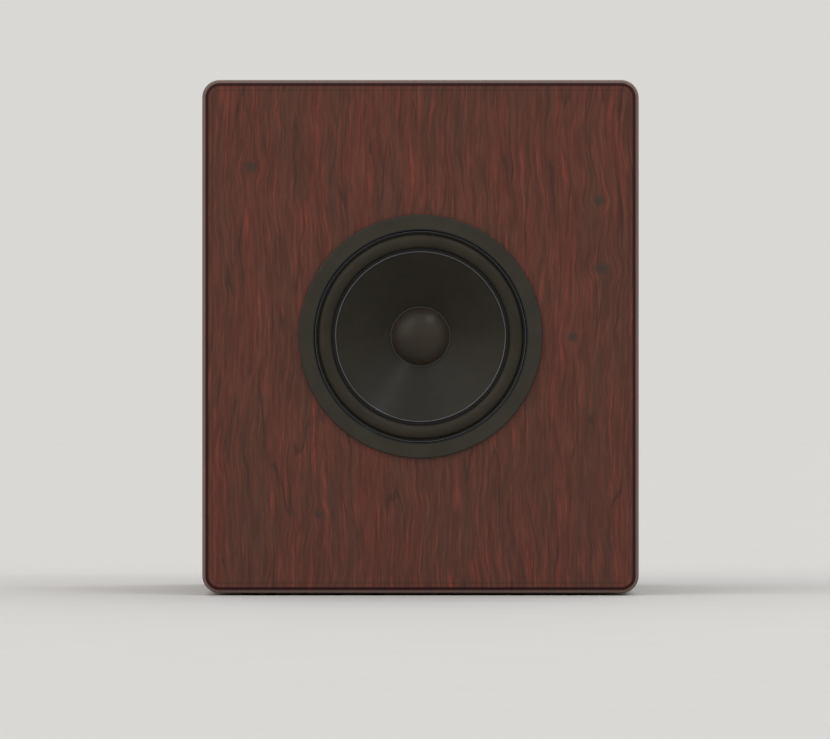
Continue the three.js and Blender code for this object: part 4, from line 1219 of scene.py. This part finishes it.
def make_switch(name):
    width = SLOTS[name]
    centre = middle(f"{name}_switch_body")
    floor = 385.7
    well = bar(centre, width, SLOT_HEIGHT, floor, local_box(f"{name}_switch_body")[1].y + 1)
    piece(f"{name}_switch_shell", box_shape(f"{name}_switch_body"), "plated_steel", f"{name}_switch_body",
          bevel=0.5, cuts=[well])
    lo, hi = local_box(f"{name}_lever")
    x, z = middle(f"{name}_lever")
    lever = slab((x, z), hi.x - lo.x, hi.z - lo.z, 0.5, lo.y, hi.y)
    grooves = [bar((x + u, z), 0.44, hi.z - lo.z + 2, hi.y - 0.45, hi.y + 1) for u in (-1.0, 0.0, 1.0)]
    piece(f"{name}_slide_lever", lever, "knob_black", f"{name}_lever", f"{name}_slider", bevel=0.3,
          cuts=grooves)
    inside = slab(centre, width + 4.4, 7.8, 1.1, PLATE_FACE - 1, PLATE_FACE + 1, 4)
    piece(f"{name}_switch_frame_print", slab(centre, width + 5.2, 8.6, 1.4, *PRINT, 4), "print_white",
          cuts=[inside])


def make_jacks():
    x, z = middle("input_jacks")
    tip = local_box("input_jacks")[1].y
    face = PLATE_FACE + 2
    floor, apart = face - 0.9, 11
    spots = [(x - apart, z), (x + apart, z)]
    wells = [lathe(band(0, 6.2, floor, face + 1), spot, 64) for spot in spots]
    moulding("jack_moulding", "input_jacks", 0.5, wells, face)
    insert = filleted([
        (3.55, floor), (6.1, floor, 0.2), (6.1, face + 0.1, 0.3), (4.3, face + 0.1), (4.3, face - 0.4),
        (3.55, face - 0.4),
    ], 3)
    shell = band(3.35, 4.15, face - 0.35, tip, (0, 0, 0.35, 0.25), 4)
    core = band(1.6, 3.3, face, tip - 0.7, (0, 0, 0.3, 0.4), 3)
    for side, spot, tint in (("left", spots[0], "insert_white"), ("right", spots[1], "insert_red")):
        piece(f"jack_{side}_ring", lathe(insert, spot, 64), tint)
        piece(f"jack_{side}_shell", lathe(shell, spot, 64), "plated_steel")
        piece(f"jack_{side}_core", lathe(core, spot, 64), tint)


def make_inlet():
    centre = middle("mains_inlet")
    front = local_box("mains_inlet")[1].y + 1
    x, z, chamfer, floor, drawer_floor = 24.5 / 2, 16.5 / 2, 5, 379.5, 375.7
    socket_z, drawer_z = centre[1] + 8, centre[1] - 14.5
    mouth = filleted([
        (-x, -z, 1.0), (x, -z, 1.0), (x, z - chamfer, 1.0), (x - chamfer, z, 1.0), (chamfer - x, z, 1.0),
        (-x, z - chamfer, 1.0),
    ], 4)
    well = prism([(centre[0] + u, socket_z + v) for u, v in mouth], floor, front)
    drawer_slot = bar((centre[0], drawer_z), 24, 9, drawer_floor, front)
    moulding("inlet_moulding", "mains_inlet", 0.6, [well, drawer_slot])
    for name, u, v in (("live", -7, -1.5), ("earth", 0, 2), ("neutral", 7, -1.5)):
        blade = slab((centre[0] + u, socket_z + v), 2, 4, 0.5, floor - 1, floor + 11)
        piece(f"inlet_pin_{name}", blade, "plated_steel", bevel=0.45)


def make_fuse_drawer():
    x, z = middle("fuse_drawer")
    lo, hi = local_box("fuse_drawer")
    handle = hi.y - 1.4
    body = slab((x, z), 23.4, 8.4, 0.4, lo.y, handle + 0.5)
    bed = bar((x, z + 2.2), 20.8, 7.6, lo.y + 4, lo.y + 10.4)
    notch = slab((x, z - 4.6), 7, 2.2, 0.8, hi.y - 0.9, hi.y + 1, 4)
    front = slab((x, z), 25.4, 10.4, 1.0, handle, hi.y, 4)
    piece("fuse_holder_drawer", front, "moulded_black", "fuse_drawer", "fuse_carrier", bevel=0.35,
          adds=[body], cuts=[bed, notch])


def make_fuse():
    lo, hi = local_box("mains_fuse")
    spot = (lo + hi) / 2
    radius, half = 2.5, 10

    def along_x(profile):
        points, faces = lathe(profile, (0, 0), 48)
        return [(spot.x + y, spot.y + x, spot.z + z) for x, y, z in points], faces

    glass = band(1.9, 2.3, 1 - half, half - 1, [0.2] * 4, 3)
    piece("fuse_glass_tube", along_x(glass), "fuse_glass", "mains_fuse", "fuse_carrier")
    for name, sign in (("left", -1), ("right", 1)):
        end, lip, floor = (sign * (half - inset) for inset in (0, 5, 0.5))
        corners = [(0, end), (radius, end, 0.5), (radius, lip), (2.32, lip), (2.32, floor), (0, floor)]
        cap = filleted(corners, 4)
        piece(f"fuse_cap_{name}", along_x(cap), "plated_steel", body="fuse_carrier")
    wire = [(spot.x + x, spot.y, spot.z + 0.25 * math.sin(x)) for x in np.linspace(-9.3, 9.3, 9)]
    piece("fuse_wire", tube(wire, 0.12, 8), "winding", body="fuse_carrier")


def make_rocker():
    centre = middle("rocker_bezel")
    floor, pivot, tilt, half_width, end, dip = 388.5, 393.5, math.radians(-8), 5, 7.4, 1.4
    opening = slab(centre, 10.8, 16.8, 0.5, floor, local_box("rocker_bezel")[1].y + 1)
    moulding("rocker_surround", "rocker_bezel", 0.5, [opening])

    def set_at(out, z, x):
        turned_y = out * math.cos(tilt) - z * math.sin(tilt)
        turned_z = out * math.sin(tilt) + z * math.cos(tilt)
        return (centre[0] + x, pivot + turned_y, centre[1] + turned_z)

    def across(outline, half):
        return skin([[set_at(out, z, x) for out, z in outline] for x in (-half, half)])

    dished = [(2.2 + dip * (z / end) ** 2, z) for z in np.linspace(-7.0, 7.0, 15)]
    paddle = across([(-3, -end), (3.0, -end), *dished, (3.0, end), (-3, end)], half_width)
    piece("rocker_paddle", paddle, "rocker_black", "power_rocker", "power_switch", bevel=0.35)
    on_mark = across([(2.6, 3.2), (3.02, 3.2), (3.32, 5.6), (2.8, 5.6)], 0.3)
    piece("rocker_on_mark", on_mark, "print_white", body="power_switch")
    points, faces = lathe(band(0.8, 1.3, 2.6, 3.12), (0, 0), 32)
    mark_z = -4.4
    slope = 2 * dip * mark_z / end ** 2
    off_mark = [set_at(y + z * slope, z + mark_z, x) for x, y, z in points], faces
    piece("rocker_off_mark", off_mark, "print_white", body="power_switch")


def make_led():
    lo, hi = local_box("status_led")
    rise = 1.5
    dome = arc((0, hi.y - rise), (LED_R, rise), 0, 90, 9)
    profile = [(0, lo.y), (LED_R, lo.y), *dome[:-1], (0, hi.y)]
    piece("status_led_lens", lathe(profile, middle("status_led"), 48), "led_lens", "status_led")


def make_electronics():
    repaint("circuit_board", "board_green", bevel=0.1)
    for side in ("left", "right"):
        lo, hi = local_box(f"capacitor_{side}")
        radius = (hi.x - lo.x) / 2
        profile = filleted([
            (0, lo.y + 0.5), (radius - 2.2, lo.y + 0.5, 0.3), (radius - 1.6, lo.y, 0.4), (radius, lo.y, 1.0),
            (radius, lo.y + 3.2, 0.5), (radius - 0.8, lo.y + 4.2, 0.5), (radius, lo.y + 5.2, 0.5),
            (radius, hi.y, 0.3), (0, hi.y),
        ], 4)
        piece(f"smoothing_capacitor_{side}", lathe(profile, middle(f"capacitor_{side}"), 72),
              "capacitor_sleeve", f"capacitor_{side}")
    lo, hi = local_box("transformer")
    turns = 120

    def wound(reach, _, turn):
        return reach - 0.35 * abs(math.sin(turns * turn / 2))

    profile = band(12, (hi.x - lo.x) / 2, 0, hi.z - lo.z, (7, 9, 9, 7), 9)
    toroid = upright_lathe(profile, "transformer", lo.z, 4 * turns, wound)
    piece("wound_toroid", toroid, "transformer_winding", "transformer", sharp=80)


def make_amplifier():
    make_plate()
    make_outer_screws()
    make_heat_sink()
    for name in CONTROLS:
        make_control(name)
        make_dial_ticks(name)
    for name in SLOTS:
        make_switch(name)
    make_jacks()
    make_inlet()
    make_fuse_drawer()
    make_fuse()
    make_rocker()
    make_led()
    make_electronics()


# -------------------- studio


def make_camera():
    data = bpy.data.cameras.new("camera")
    data.lens = 338
    data.sensor_width = 36
    data.clip_end = 100
    camera = placed_object("camera", data)
    camera.location = (-0.005, FRONT - 7.1, 0.206)
    camera.rotation_euler = (math.pi / 2, 0, 0)
    bpy.context.scene.camera = camera


def turned_about_z(name, profile, material, segments=128):
    points, faces = lathe(profile, (0, 0), segments)
    mesh = bpy.data.meshes.new(name)
    mesh.from_pydata([(x, z, y) for x, y, z in points], [], faces[: -segments])
    mesh.shade_smooth()
    mesh.materials.append(MATERIALS[material])
    made = placed_object(name, mesh)
    return made


def make_stage():
    """A paper floor and, round it, a backdrop that glows as brightly as the lit floor."""
    paper = Surface("paper", Roughness=0.85, Specular_IOR_Level=0.1)
    paper.set(Base_Color=paper.mix(paper.noise(9), (0.60, 0.585, 0.565), (0.63, 0.615, 0.595)))
    paper.bump(paper.noise(1500, 2), 0.02)
    turned_about_z("floor", [(0, 0), (3, 0), (FLOOR_RADIUS, 0)], "paper")
    wall = Surface(
        "backdrop", Roughness=1.0, Specular_IOR_Level=0.0, Base_Color=(0, 0, 0), Emission_Strength=1.0,
    )
    wall.set(Emission_Color=wall.mix(wall.noise(0.2, 1), (0.697, 0.686, 0.664), (0.703, 0.692, 0.671)))
    bend, height = 4, 30
    curve = arc((FLOOR_RADIUS, bend), (bend, -bend), 90, 0, 16)
    profile = [*curve, (FLOOR_RADIUS + bend, height), (0.01, height)]
    bowl = turned_about_z("backdrop", profile, "backdrop")
    for rays in ("diffuse", "glossy", "transmission", "shadow", "volume_scatter"):
        setattr(bowl, f"visible_{rays}", False)


def make_world():
    """A studio with pale walls at the sides and overhead, darker straight in front and behind."""
    world = bpy.data.worlds.new("studio")
    bpy.context.scene.world = world
    world.use_nodes = True
    room = Nodes(world.node_tree)
    parts = room.axes(room.coordinates("Generated"))
    pale = room.remap(room.absolute(parts["Y"]), 0.95, 0.40)
    height = room.remap(parts["Z"], -0.1, 0.9)
    walls = room.mix(height, (1.00, 0.91, 0.78), (0.88, 0.97, 1.08))
    background = room.tree.nodes["Background"].inputs
    room.feed(background["Color"], room.mix(pale, (0.55, 0.50, 0.43), walls))
    room.feed(background["Strength"], 0.75)


def soft_light(name, azimuth, elevation, spread, strength, tint):
    """A wide, even light. Azimuth 0 is straight in front, 90 is the object's right-hand side."""
    data = bpy.data.lights.new(name, "SUN")
    data.angle = math.radians(spread)
    data.energy = strength
    data.color = tint
    turn, lift = math.radians(azimuth), math.radians(elevation)
    towards = Vector((math.sin(turn) * math.cos(lift), -math.cos(turn) * math.cos(lift), math.sin(lift)))
    light = placed_object(name, data)
    light.rotation_euler = (-towards).to_track_quat("-Z", "Y").to_euler()
    light.location = towards * 3


def make_studio():
    bpy.context.scene.view_settings.view_transform = "Standard"
    make_camera()
    make_stage()
    make_world()
    soft_light("key", -60, 34, 70, 0.60, (1.0, 0.95, 0.88))
    soft_light("front", 5, 25, 120, 1.0, (1.0, 0.96, 0.90))
    soft_light("rear", 160, 42, 80, 0.9, (1.0, 0.98, 0.95))
    soft_light("glint", 38, 48, 9, 0.20, (0.80, 0.92, 1.0))


make_studio()
make_cabinet()
make_driver()
make_amplifier()
